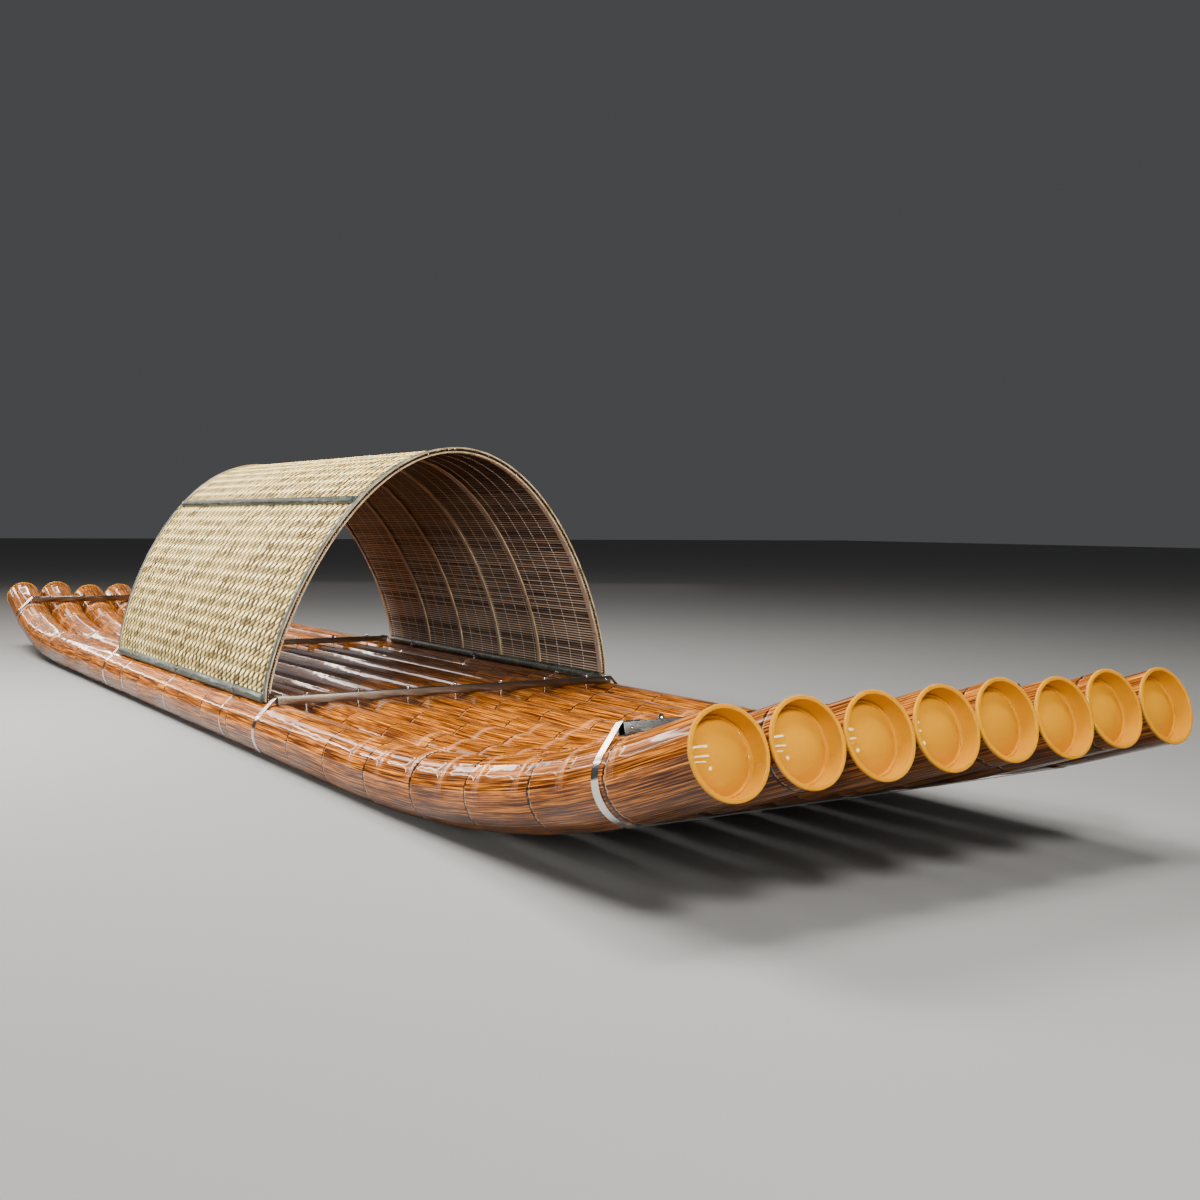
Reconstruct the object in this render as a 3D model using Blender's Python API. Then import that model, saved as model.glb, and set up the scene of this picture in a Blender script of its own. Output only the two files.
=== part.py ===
"""Bamboo-look raft: eight capped pipes turned up at both ends, under an arched mat canopy.

Metres, +Z up, +X towards the bow, +Y to port. Stations along the raft are measured from
crossbar B, the bar just ahead of the canopy, and the origin is midway between the tips.
Heights are measured from the floor, which the two middle girth bands touch.
"""

import math

import bmesh
import bpy
import numpy as np

# Pipes
PIPE_COUNT = 8
PIPE_RADIUS = 0.100
PIPE_PITCH = 0.2066
PIPE_SIDES = 16
PIPE_WALL = 0.005
SOCKET_DEPTH = 0.070

# Each end is turned up in a row of kinks, whose angle grows evenly towards the tip
BOW_KINKS = {"first": 0.892, "pitch": 0.2085, "count": 8, "total": 19.43, "growth": 0.127}
STERN_KINKS = {"first": 3.700, "pitch": 0.235, "count": 5, "total": 17.89, "growth": 0.443}
BOW_TIP = 2.647
STERN_TIP = 5.017

# How far each pipe's tip lies out of line, starboard to port: along the raft, then upwards
BOW_SHIFTS = [(-9, -5), (-2, -1), (2, -3), (6, -3), (5, 1), (7, -8), (-2, 2), (6, -6)]
STERN_SHIFTS = [(22, 4), (7, 12), (-36, 4), (-10, -4), (0, 2), (8, -3), (-6, 3), (4, 0)]
MILLIMETRE = 0.001

# End caps
CAP_CLEARANCE = 0.0003
CAP_DEPTH = 0.060
CAP_RIM = 0.0055
DISH_DEPTH = 0.038
LEDGE_RADIUS = 0.080
LEDGE_DEPTH = 0.040
DOME_TOP_DEPTH = 0.016
DOME_RINGS = [0.055, 0.030]

# Crossbars and girth bands
STATIONS = {"a": -4.688, "b": 0.0, "c": -2.307, "d": 2.292}
BAR_SIZE = 0.030
BAR_WALL = 0.002
BAR_HALF_LENGTH = 0.735
BAND_WIDTH = 0.030
BAND_THICKNESS = 0.002
BAND_LAP = 0.045
SEAT_GAP = 0.0003
BENT_SEAT_GAP = 0.0006

# Cable ties round the outer pipes
TIE_STATIONS = [-0.400, -1.195, -1.930]
TIE_WIDTH = 0.008
TIE_THICKNESS = 0.001

# Canopy: the mat's outer face is an arch on straight legs, half width times cos t, and rise
# times sin t raised to a power
CANOPY_BOW = -0.058
CANOPY_STERN = -2.256
ARCH_HALF_WIDTH = 0.751
ARCH_RISE = 0.933
ARCH_SPRING_HEIGHT = 0.2415
ARCH_POWER = 1.43
ARCH_SEGMENTS = 36
ARCH_SAMPLES = 4000
LEAN_BOW = 0.045
LEAN_STERN = -0.020
MAT_THICKNESS = 0.004
MAT_FOOT = 0.2063
LAYER_GAP = 0.0009
LINER_THICKNESS = 0.004
HOOP_WIDTH = 0.032
HOOP_THICKNESS = 0.006
HOOP_FOOT = 0.2023
RIB_STATIONS = [-0.075, -0.591, -0.965, -1.365, -1.745, -2.241]
RIB_WIDTHS = [0.032, 0.025, 0.025, 0.025, 0.025, 0.025]
RIB_THICKNESS = 0.006

# Split bamboo poles, half round, flat against the mat
RAIL_RADIUS = 0.019
PURLIN_RADIUS = 0.018
PURLIN_SLOPE = math.radians(56.5)
POLE_SEGMENTS = 8

PIPE_Z = BAND_THICKNESS + SEAT_GAP + PIPE_RADIUS


def make_material(name, color, roughness, metallic=0.0):
    """One Principled BSDF with a plain colour."""
    material = bpy.data.materials.new(name)
    material.use_nodes = True
    shader = material.node_tree.nodes["Principled BSDF"]
    shader.inputs["Base Color"].default_value = (*color, 1.0)
    shader.inputs["Roughness"].default_value = roughness
    shader.inputs["Metallic"].default_value = metallic
    material.diffuse_color = (*color, 1.0)
    return material


def skin(name, rings, material, loop=False):
    """Join a row of equal rings into one closed solid, with its ends filled or joined."""
    mesh = bpy.data.meshes.new(name)
    shape = bmesh.new()
    rows = [[shape.verts.new(point) for point in ring] for ring in rings]
    pairs = list(zip(rows, rows[1:]))
    if loop:
        pairs.append((rows[-1], rows[0]))
    else:
        shape.faces.new(rows[0])
        shape.faces.new(rows[-1])
    for near, far in pairs:
        for k in range(len(near)):
            after = (k + 1) % len(near)
            shape.faces.new((near[k], near[after], far[after], far[k]))
    bmesh.ops.recalc_face_normals(shape, faces=shape.faces)
    shape.to_mesh(mesh)
    shape.free()
    mesh.shade_smooth()
    mesh.set_sharp_from_angle(angle=math.radians(30.0))
    mesh.materials.append(material)
    part = bpy.data.objects.new(name, mesh)
    bpy.context.collection.objects.link(part)
    return part


def pipe_y(index):
    """Where pipe 0 to 7 lies across the raft."""
    return (index - (PIPE_COUNT - 1) / 2.0) * PIPE_PITCH


def rising_run(kinks, tip, scale=1.0):
    """Distance, height and heading at each kink of a turned-up end, and at its tip."""
    count = kinks["count"]
    weights = [1.0 + kinks["growth"] * i for i in range(count)]
    unit = math.radians(kinks["total"]) * scale / sum(weights)
    distance = kinks["first"]
    height = 0.0
    heading = 0.0
    run = []
    for i, weight in enumerate(weights):
        bend = weight * unit
        run.append((distance, height, heading + bend / 2.0))
        heading += bend
        after = tip if i == count - 1 else distance + kinks["pitch"]
        height += (after - distance) * math.tan(heading)
        distance = after
    run.append((distance, height, heading))
    return run


def pipe_run(index):
    """Centre line of one pipe, stern to bow, as station, height and heading."""
    ends = []
    for kinks, tip, shifts in ((STERN_KINKS, STERN_TIP, STERN_SHIFTS), (BOW_KINKS, BOW_TIP, BOW_SHIFTS)):
        along, up = shifts[index]
        nominal = rising_run(kinks, tip)[-1][1]
        scale = 1.0 + up * MILLIMETRE / nominal
        ends.append(rising_run(kinks, tip + along * MILLIMETRE, scale))
    stern = [(-distance, height, -heading) for distance, height, heading in reversed(ends[0])]
    return stern + ends[1]


def tip_reach(index, end):
    """Furthest station that a pipe's square-cut end reaches."""
    station, _, heading = pipe_run(index)[end]
    return station + PIPE_RADIUS * math.sin(heading)


BOW_REACH = max(tip_reach(i, -1) for i in range(PIPE_COUNT))
STERN_REACH = min(tip_reach(i, 0) for i in range(PIPE_COUNT))
DATUM_X = -(BOW_REACH + STERN_REACH) / 2.0


def pipe_at(index, station):
    """Height of a pipe's centre line above its flat run, and its heading, at a station."""
    run = pipe_run(index)
    for near, far in zip(run, run[1:]):
        if near[0] <= station <= far[0]:
            share = (station - near[0]) / (far[0] - near[0])
            height = near[1] + share * (far[1] - near[1])
            return height, math.atan2(far[1] - near[1], far[0] - near[0])
    raise ValueError("station is off the pipe")


def round_ring(centre, heading, radius, along=0.0):
    """Ring of points square to a heading, with points at its top, bottom and sides."""
    ring = []
    for k in range(PIPE_SIDES):
        angle = 2.0 * math.pi * k / PIPE_SIDES
        across = radius * math.cos(angle)
        up = radius * math.sin(angle)
        x = centre[0] + along * math.cos(heading) - up * math.sin(heading)
        z = centre[2] + along * math.sin(heading) + up * math.cos(heading)
        ring.append((x, centre[1] + across, z))
    return ring


def build_pipe(index, material):
    """One kinked pipe with a blind socket at each end."""
    run = pipe_run(index)
    y = pipe_y(index)
    centres = [(DATUM_X + station, y, PIPE_Z + height) for station, height, _ in run]
    bore = PIPE_RADIUS - PIPE_WALL
    rings = [round_ring(centres[0], run[0][2], bore, SOCKET_DEPTH)]
    rings.append(round_ring(centres[0], run[0][2], bore))
    rings += [round_ring(centre, heading, PIPE_RADIUS) for centre, (_, _, heading) in zip(centres, run)]
    rings.append(round_ring(centres[-1], run[-1][2], bore))
    rings.append(round_ring(centres[-1], run[-1][2], bore, -SOCKET_DEPTH))
    skin(f"pipe_{index + 1}", rings, material)


def build_cap(name, index, end, material):
    """Turned plug with a deep dish and a domed floor, set in a pipe's socket."""
    station, height, heading = pipe_run(index)[end]
    centre = (DATUM_X + station, pipe_y(index), PIPE_Z + height)
    inward = 1.0 if end == 0 else -1.0
    radius = PIPE_RADIUS - PIPE_WALL - CAP_CLEARANCE
    profile = [
        (radius, CAP_DEPTH),
        (radius, 0.0),
        (radius - CAP_RIM, 0.0),
        (radius - CAP_RIM - 0.001, DISH_DEPTH),
        (LEDGE_RADIUS, LEDGE_DEPTH),
    ]
    bulge = LEDGE_DEPTH - DOME_TOP_DEPTH
    for ring_radius in DOME_RINGS:
        depth = DOME_TOP_DEPTH + bulge * (ring_radius / LEDGE_RADIUS) ** 2
        profile.append((ring_radius, depth))
    rings = [round_ring(centre, heading, ring_radius, inward * depth) for ring_radius, depth in profile]
    skin(f"{name}_{index + 1}", rings, material)


def seat_frame(letter):
    """Place and heading of the plane that a crossbar and its band lie in, and each pipe's rise in it."""
    station = STATIONS[letter]
    readings = [pipe_at(i, station) for i in range(PIPE_COUNT)]
    height = sum(reading[0] for reading in readings) / PIPE_COUNT
    heading = sum(reading[1] for reading in readings) / PIPE_COUNT
    rises = [(reading[0] - height) * math.cos(heading) for reading in readings]
    return (DATUM_X + station, 0.0, PIPE_Z + height), heading, rises


def seat_gap(letter):
    """Clearance of a bar or band to the pipes, wider where the pipes are bent."""
    return SEAT_GAP if STATIONS[letter] in (STATIONS["b"], STATIONS["c"]) else BENT_SEAT_GAP


def place(part, centre, heading):
    """Stand a part in a plane square to the pipes."""
    part.location = centre
    part.rotation_euler = (0.0, -heading, 0.0)


def build_crossbar(letter, material):
    """Square tube across the pipes' tops, open at both ends."""
    centre, heading, rises = seat_frame(letter)
    floor = PIPE_RADIUS + max(rises) + seat_gap(letter)
    middle = floor + BAR_SIZE / 2.0
    rings = []
    for y, half in (
        (-BAR_HALF_LENGTH, BAR_SIZE / 2.0),
        (BAR_HALF_LENGTH, BAR_SIZE / 2.0),
        (BAR_HALF_LENGTH, BAR_SIZE / 2.0 - BAR_WALL),
        (-BAR_HALF_LENGTH, BAR_SIZE / 2.0 - BAR_WALL),
    ):
        corners = [(-half, -half), (half, -half), (half, half), (-half, half)]
        rings.append([(x, y, middle + z) for x, z in corners])
    place(skin(f"crossbar_{letter}", rings, material, loop=True), centre, heading)


def convex_hull(points):
    """Corners of the tight outline round a set of points, anticlockwise."""
    ordered = sorted(set(points))
    outline = []
    for row in (ordered, ordered[::-1]):
        side = []
        for point in row:
            while len(side) > 1:
                (ax, ay), (bx, by) = side[-2], side[-1]
                turn = (bx - ax) * (point[1] - ay) - (by - ay) * (point[0] - ax)
                if turn > 1e-9:
                    break
                side.pop()
            side.append(point)
        outline += side[:-1]
    return outline


def offset_path(path, distance):
    """Move an open path to its right by a distance, with mitred corners."""
    points = np.array(path)
    steps = np.diff(points, axis=0)
    steps /= np.linalg.norm(steps, axis=1)[:, None]
    normals = np.stack([steps[:, 1], -steps[:, 0]], axis=1)
    before = np.vstack([normals[:1], normals])
    after = np.vstack([normals, normals[-1:]])
    mitre = before + after
    mitre /= np.sum(mitre * before, axis=1)[:, None]
    return points + distance * mitre


def build_band(letter, material):
    """Flat band drawn tight round the pipes from one end of the crossbar's top to the other."""
    centre, heading, rises = seat_frame(letter)
    bar_top = PIPE_RADIUS + max(rises) + seat_gap(letter) + BAR_SIZE
    points = [(-BAR_HALF_LENGTH, bar_top), (BAR_HALF_LENGTH, bar_top)]
    for index, rise in enumerate(rises):
        ring = round_ring((0.0, pipe_y(index), rise), 0.0, PIPE_RADIUS)
        points += [(round(y, 6), round(z, 6)) for _, y, z in ring]
    hull = convex_hull(points)
    start = hull.index((-BAR_HALF_LENGTH, bar_top))
    path = hull[start:] + hull[:start]
    lap = BAR_HALF_LENGTH - BAND_LAP
    path = [(-lap, bar_top)] + path + [(lap, bar_top)]
    gap = seat_gap(letter)
    inner = offset_path(path, gap)
    outer = offset_path(path, gap + BAND_THICKNESS)
    half = BAND_WIDTH / 2.0
    rings = []
    for (inner_y, inner_z), (outer_y, outer_z) in zip(inner, outer):
        ring = [(-half, inner_y, inner_z), (half, inner_y, inner_z)]
        ring += [(half, outer_y, outer_z), (-half, outer_y, outer_z)]
        rings.append(ring)
    place(skin(f"band_{letter}", rings, material), centre, heading)


def build_tie(name, index, station, material):
    """Thin steel tie round one outer pipe."""
    centre = (DATUM_X + station, pipe_y(index), PIPE_Z)
    inner = PIPE_RADIUS + SEAT_GAP
    corners = [
        (inner, -TIE_WIDTH / 2.0),
        (inner, TIE_WIDTH / 2.0),
        (inner + TIE_THICKNESS, TIE_WIDTH / 2.0),
        (inner + TIE_THICKNESS, -TIE_WIDTH / 2.0),
    ]
    rings = [round_ring(centre, 0.0, radius, along) for radius, along in corners]
    skin(name, rings, material, loop=True)


def arch_line():
    """Points along the mat's outer face, equally spaced, with their outward normals."""
    t = np.linspace(0.0, math.pi, ARCH_SAMPLES)
    y = -ARCH_HALF_WIDTH * np.cos(t)
    z = ARCH_SPRING_HEIGHT + ARCH_RISE * np.sin(t) ** ARCH_POWER
    length = np.concatenate([[0.0], np.cumsum(np.hypot(np.diff(y), np.diff(z)))])
    marks = np.linspace(0.0, length[-1], ARCH_SEGMENTS + 1)
    points = np.stack([np.interp(marks, length, y), np.interp(marks, length, z)], axis=1)
    slope = np.stack([np.gradient(y, length), np.gradient(z, length)], axis=1)
    tangent = np.stack([np.interp(marks, length, slope[:, 0]), np.interp(marks, length, slope[:, 1])], axis=1)
    tangent[0] = (0.0, 1.0)
    tangent[-1] = (0.0, -1.0)
    tangent /= np.linalg.norm(tangent, axis=1)[:, None]
    normals = np.stack([-tangent[:, 1], tangent[:, 0]], axis=1)
    return points, normals


def arch_layer(offset, foot):
    """The arch moved outwards by an offset, with straight legs down or cut off at a foot height."""
    points, normals = arch_line()
    line = points + offset * normals
    legs = [np.array([line[0][0], 0.0]), np.array([line[-1][0], 0.0])]
    line = [legs[0]] + list(line) + [legs[1]]
    for _ in range(2):
        while line[1][1] < foot:
            line.pop(0)
        share = (foot - line[0][1]) / (line[1][1] - line[0][1])
        line[0] = line[0] + share * (line[1] - line[0])
        line.reverse()
    return line


def lean_at(station):
    """Sideways lean of the arch's crown, which changes along the canopy."""
    share = (station - CANOPY_STERN) / (CANOPY_BOW - CANOPY_STERN)
    return LEAN_STERN + share * (LEAN_BOW - LEAN_STERN)


def leaned(station, point):
    """A point of the arch's section, placed at a station with the lean there."""
    rise = max(point[1] - ARCH_SPRING_HEIGHT, 0.0) / ARCH_RISE
    return (DATUM_X + station, point[0] + lean_at(station) * rise, point[1])


def build_arch(name, stations, outer_offset, inner_offset, foot, material):
    """Arched sheet or lath between two offsets, running through the given stations."""
    outer = arch_layer(outer_offset, foot)
    inner = arch_layer(inner_offset, foot)
    rings = []
    for outside, inside in zip(outer, inner):
        ring = [leaned(station, outside) for station in stations]
        ring += [leaned(station, inside) for station in reversed(stations)]
        rings.append(ring)
    skin(name, rings, material)


def half_round(radius):
    """Half-round section: its flat lies on the first axis and it bulges along the second."""
    angles = [math.pi * k / POLE_SEGMENTS for k in range(POLE_SEGMENTS + 1)]
    return [(radius * math.cos(a), radius * math.sin(a)) for a in angles]


def rail_height(section):
    """Height that seats a rail's section on the ties, on the flat just outboard of a pipe's top."""
    slope = math.pi / 2.0 - math.pi / PIPE_SIDES
    flat = (PIPE_RADIUS + SEAT_GAP + TIE_THICKNESS) * math.cos(math.pi / PIPE_SIDES) + SEAT_GAP
    pipe_centre = pipe_y(PIPE_COUNT - 1)
    seats = [(flat - (y - pipe_centre) * math.cos(slope)) / math.sin(slope) - up for y, up in section]
    return PIPE_Z + max(seats)


def build_rail(name, side, section, material):
    """Split pole along the foot of the mat, its flat against the mat."""
    start = CANOPY_STERN + HOOP_WIDTH + SEAT_GAP
    stop = CANOPY_BOW - HOOP_WIDTH - SEAT_GAP
    height = rail_height(section)
    rings = []
    for station in (start, stop):
        rings.append([(DATUM_X + station, side * y, height + up) for y, up in section])
    skin(name, rings, material)


def build_purlin(name, side, material):
    """Split pole along the canopy's haunch, its flat on the mat's outer face."""
    start = CANOPY_STERN + HOOP_WIDTH + SEAT_GAP
    stop = CANOPY_BOW - HOOP_WIDTH - SEAT_GAP
    y = side * ARCH_HALF_WIDTH * math.cos(PURLIN_SLOPE)
    z = ARCH_SPRING_HEIGHT + ARCH_RISE * math.sin(PURLIN_SLOPE) ** ARCH_POWER
    across = side * ARCH_HALF_WIDTH * math.sin(PURLIN_SLOPE)
    down = -ARCH_RISE * ARCH_POWER * math.sin(PURLIN_SLOPE) ** (ARCH_POWER - 1.0) * math.cos(PURLIN_SLOPE)
    length = math.hypot(across, down)
    flat = (across / length, down / length)
    out = (-flat[1] * side, flat[0] * side)
    rings = []
    for station in (start, stop):
        ring = []
        for a, b in half_round(PURLIN_RADIUS):
            point = (y + flat[0] * a + out[0] * (b + SEAT_GAP), z + flat[1] * a + out[1] * (b + SEAT_GAP))
            ring.append(leaned(station, point))
        rings.append(ring)
    skin(name, rings, material)


def build_hull(materials):
    """Pipes with their end caps."""
    for index in range(PIPE_COUNT):
        build_pipe(index, materials["film"])
        build_cap("bow_cap", index, -1, materials["cap"])
        build_cap("stern_cap", index, 0, materials["cap"])


def build_girths(materials):
    """Crossbars with their bands, and the ties under the canopy's rails."""
    for letter in STATIONS:
        build_crossbar(letter, materials["steel"])
        build_band(letter, materials["steel"])
    for side, index in (("starboard", 0), ("port", PIPE_COUNT - 1)):
        for number, station in enumerate(TIE_STATIONS, start=1):
            build_tie(f"tie_{side}_{number}", index, station, materials["steel"])


def build_canopy(materials):
    """Mat and liner, inner ribs, edge hoops, foot rails and purlins."""
    joints = [CANOPY_BOW] + RIB_STATIONS[1:-1] + [CANOPY_STERN]
    liner_outer = -MAT_THICKNESS - LAYER_GAP
    liner_inner = liner_outer - LINER_THICKNESS
    rib_outer = liner_inner - LAYER_GAP
    build_arch("canopy_mat", joints, 0.0, -MAT_THICKNESS, MAT_FOOT, materials["mat"])
    build_arch("canopy_liner", joints, liner_outer, liner_inner, MAT_FOOT, materials["liner"])

    outer_flat = ARCH_HALF_WIDTH + SEAT_GAP
    inner_flat = ARCH_HALF_WIDTH + liner_inner - SEAT_GAP
    outer_section = [(outer_flat + bulge, up) for up, bulge in half_round(RAIL_RADIUS)]
    inner_section = [(inner_flat - bulge, up) for up, bulge in half_round(RAIL_RADIUS)]
    rib_foot = rail_height(inner_section) + RAIL_RADIUS + SEAT_GAP

    for side_name, side in (("starboard", -1.0), ("port", 1.0)):
        build_rail(f"outer_rail_{side_name}", side, outer_section, materials["bamboo"])
        build_rail(f"inner_rail_{side_name}", side, inner_section, materials["bamboo"])
        build_purlin(f"purlin_{side_name}", side, materials["bamboo"])

    for number, (station, width) in enumerate(zip(RIB_STATIONS, RIB_WIDTHS), start=1):
        edges = [station + width / 2.0, station - width / 2.0]
        build_arch(f"rib_{number}", edges, rib_outer, rib_outer - RIB_THICKNESS, rib_foot, materials["lath"])

    for name, edge, step in (("hoop_bow", CANOPY_BOW, -1.0), ("hoop_stern", CANOPY_STERN, 1.0)):
        edges = [edge, edge + step * HOOP_WIDTH]
        build_arch(name, edges, SEAT_GAP + HOOP_THICKNESS, SEAT_GAP, HOOP_FOOT, materials["bamboo"])


def main():
    """Clear the scene and build the raft."""
    for leftover in list(bpy.data.objects):
        bpy.data.objects.remove(leftover, do_unlink=True)
    materials = {
        "film": make_material("wood_grain_film", (0.36, 0.15, 0.05), 0.22),
        "cap": make_material("amber_plastic", (0.64, 0.33, 0.07), 0.20),
        "steel": make_material("polished_steel", (0.72, 0.71, 0.70), 0.12, 1.0),
        "mat": make_material("woven_straw", (0.74, 0.66, 0.45), 0.80),
        "liner": make_material("dark_slats", (0.10, 0.055, 0.035), 0.60),
        "lath": make_material("tan_lath", (0.42, 0.30, 0.19), 0.55),
        "bamboo": make_material("green_bamboo", (0.19, 0.23, 0.19), 0.50),
    }
    build_hull(materials)
    build_girths(materials)
    build_canopy(materials)


main()
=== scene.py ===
"""Looks of the bamboo-look raft: filmed pipes, amber caps, steel girths and a woven canopy.

Most pieces are modelled flat or straight and then carried along the line that they follow:
a pipe's kinked centre line, the path of a girth band, or the arch of the canopy.
Stations along the raft are measured from crossbar B, as in the construction.
"""

import math
import random

import bpy
import numpy as np
from mathutils import Matrix, Vector


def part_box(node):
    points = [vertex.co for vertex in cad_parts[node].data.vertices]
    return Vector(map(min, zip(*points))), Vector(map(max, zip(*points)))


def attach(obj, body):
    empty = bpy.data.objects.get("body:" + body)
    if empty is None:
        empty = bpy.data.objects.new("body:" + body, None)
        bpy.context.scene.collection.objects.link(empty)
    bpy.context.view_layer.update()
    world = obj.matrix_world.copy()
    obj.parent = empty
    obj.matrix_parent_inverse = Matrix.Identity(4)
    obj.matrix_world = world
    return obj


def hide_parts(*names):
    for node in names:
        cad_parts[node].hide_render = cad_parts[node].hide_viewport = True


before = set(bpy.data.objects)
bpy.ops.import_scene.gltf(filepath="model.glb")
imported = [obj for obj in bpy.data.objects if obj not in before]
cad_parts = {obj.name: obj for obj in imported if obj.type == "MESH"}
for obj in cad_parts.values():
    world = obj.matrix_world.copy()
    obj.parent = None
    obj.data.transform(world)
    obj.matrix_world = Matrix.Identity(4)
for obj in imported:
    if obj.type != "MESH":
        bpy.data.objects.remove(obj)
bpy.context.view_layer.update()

# Pipes
PIPE_COUNT = 8
PIPE_RADIUS = 0.100
PIPE_PITCH = 0.2066
PIPE_WALL = 0.005
PIPE_SIDES = 48
PIPE_Z = 0.1023
SOCKET_DEPTH = 0.060
FLANGE = 0.0062
BOW_KINKS = {"first": 0.892, "pitch": 0.2085, "count": 8, "total": 19.43, "growth": 0.127}
STERN_KINKS = {"first": 3.700, "pitch": 0.235, "count": 5, "total": 17.89, "growth": 0.443}
BOW_TIP = 2.647
STERN_TIP = 5.017
BOW_SHIFTS = [(-9, -5), (-2, -1), (2, -3), (6, -3), (5, 1), (7, -8), (-2, 2), (6, -6)]
STERN_SHIFTS = [(22, 4), (7, 12), (-36, 4), (-10, -4), (0, 2), (8, -3), (-6, 3), (4, 0)]
MILLIMETRE = 0.001
KINK_LENGTH = 0.020
DATUM_X = (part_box("crossbar_b")[0].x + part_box("crossbar_b")[1].x) / 2.0

# Pleats where a pipe is kinked
PLEAT_STEPS = [0.004, 0.008, 0.0105, 0.0120, 0.0135, 0.0150, 0.0165, 0.019, 0.024, 0.031, 0.042, 0.055]
PLEAT_FOLD = 0.0135
FOLD_WIDTH = 0.0022
FOLD_HEIGHT = 0.0015
SWELL_WIDTH = 0.022
SWELL_HEIGHT = 0.0022
# Width of the pale mark at each pleat: partly stretched film, partly painted highlight
STRETCH_SHEEN_WIDTH = 0.015
STRAIGHT_STEP = 0.15

# Bars and bands
STATIONS = {"a": -4.688, "b": 0.0, "c": -2.307, "d": 2.292}
BAR_SIZE = 0.030
BAR_HALF_LENGTH = 0.735
BAR_WALL = 0.0025
SCREW_PLACE = 0.714
BAND_WIDTH = 0.030
BAND_THICKNESS = 0.002
BAND_LAP = 0.045
BAND_SIDES = 96
SEAT_GAP = 0.0003
BENT_SEAT_GAP = 0.0006

# Ties and wires
SIDES = {"starboard": -1.0, "port": 1.0}
TIE_STATIONS = [-0.400, -1.195, -1.930]
TIE_WIDTH = 0.0105
TIE_THICKNESS = 0.0014
WIRE_SIDES = 6
WIRE_RADIUS = 0.0011
LOOP_POINTS = 28
INNER_BEAD = 1.6
BOW_BINDINGS = [0.030, 0.240, 0.408, 0.560, 0.720, 0.880, 1.040, 1.180, 1.300, 1.372, 1.392, 1.456, 1.610,
                1.763, 1.993, 2.139, 2.320, 2.480]
STERN_BINDINGS = [0.060, 0.438, 0.800, 1.150, 1.480, 1.830, 2.200, 2.520]

# Canopy
CANOPY_BOW = -0.058
CANOPY_STERN = -2.256
CANOPY_LENGTH = CANOPY_BOW - CANOPY_STERN
ARCH_HALF_WIDTH = 0.751
ARCH_RISE = 0.933
ARCH_SPRING_HEIGHT = 0.2415
ARCH_POWER = 1.43
ARCH_SAMPLES = 2000
LEAN_BOW = 0.045
LEAN_STERN = -0.020
MAT_THICKNESS = 0.004
LAYER_GAP = 0.0009
LINER_THICKNESS = 0.004
HOOP_WIDTH = 0.032
HOOP_THICKNESS = 0.006
RIB_STATIONS = [-0.075, -0.591, -0.965, -1.365, -1.745, -2.241]
RIB_WIDTHS = [0.032, 0.025, 0.025, 0.025, 0.025, 0.025]
RIB_THICKNESS = 0.006
RIB_FACE = -MAT_THICKNESS - 2.0 * LAYER_GAP - LINER_THICKNESS
HOOP_STATIONS = {"bow": CANOPY_BOW - HOOP_WIDTH / 2.0, "stern": CANOPY_STERN + HOOP_WIDTH / 2.0}
BLIND_FACE = -MAT_THICKNESS - LAYER_GAP
SLAT_PITCH = 0.0118
SLAT_WIDTH = 0.0104
SLAT_THICKNESS = 0.0022
THREAD_PITCH = 0.105
THREAD_WIDTH = 0.0062
THREAD_THICKNESS = 0.0007
POLE_START = CANOPY_STERN + HOOP_WIDTH + 0.001
POLE_LENGTH = (CANOPY_BOW - HOOP_WIDTH - 0.001) - POLE_START
PURLIN_RADIUS = 0.018
PURLIN_ANGLE = 56.5

# Weave of the mat
WEAVE_STEP = 0.0276
WEAVE_SPACING = 0.0525
SLANTING_COVER = 0.88
UPRIGHT_COVER = 0.95
FLOAT_CUTS = 4
WEAVE_TOP = 0.0004
WEAVE_RISE = 0.0034
WEAVE_CROWN = 0.0022
EDGE_TRIM = 0.001

# Camera, fitted to the photograph: place from crossbar B, heading, tilt, roll, and focal length
CAMERA_PLACE = (4.741, -2.4218, 0.8763)
CAMERA_YAW = -0.9906
CAMERA_PITCH = -0.0562
CAMERA_ROLL = 0.010
FOCAL_PIXELS = 1335.7
IMAGE_PIXELS = 1200.0
SENSOR_WIDTH = 36.0

# Light
WARM = (1.0, 0.98, 0.95)
ROSY = (1.0, 0.90, 0.83)
WINDOW_TARGET = (1.5, -0.7, 0.3)
BOW_TARGET = (3.8, -0.3, 0.4)


def deselect():
    """Leave nothing selected, so that an operator acts only on what comes next."""
    if bpy.context.object and bpy.context.object.mode != "OBJECT":
        leave_edit()
    bpy.ops.object.select_all(action="DESELECT")


def leave_edit():
    """Go back to object mode."""
    bpy.ops.object.mode_set(mode="OBJECT")


def edit(kind="VERT", action="SELECT"):
    """Go into edit mode by points, edges or faces, with everything or nothing selected."""
    bpy.ops.object.mode_set(mode="EDIT")
    bpy.ops.mesh.select_mode(type=kind)
    bpy.ops.mesh.select_all(action=action)


def pick(piece, kind, test):
    """Go into edit mode with only the points, edges or faces that pass a test selected."""
    edit(kind, "DESELECT")
    leave_edit()
    parts = {"VERT": piece.data.vertices, "EDGE": piece.data.edges, "FACE": piece.data.polygons}[kind]
    for part in parts:
        part.select = test(part)
    bpy.ops.object.mode_set(mode="EDIT")


def activate(piece):
    """Select one piece and make it the active one."""
    deselect()
    piece.select_set(True)
    bpy.context.view_layer.objects.active = piece


def settle(piece):
    """Put a piece's place, turn and size into its mesh."""
    activate(piece)
    bpy.ops.object.transform_apply(location=True, rotation=True, scale=True)


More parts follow.
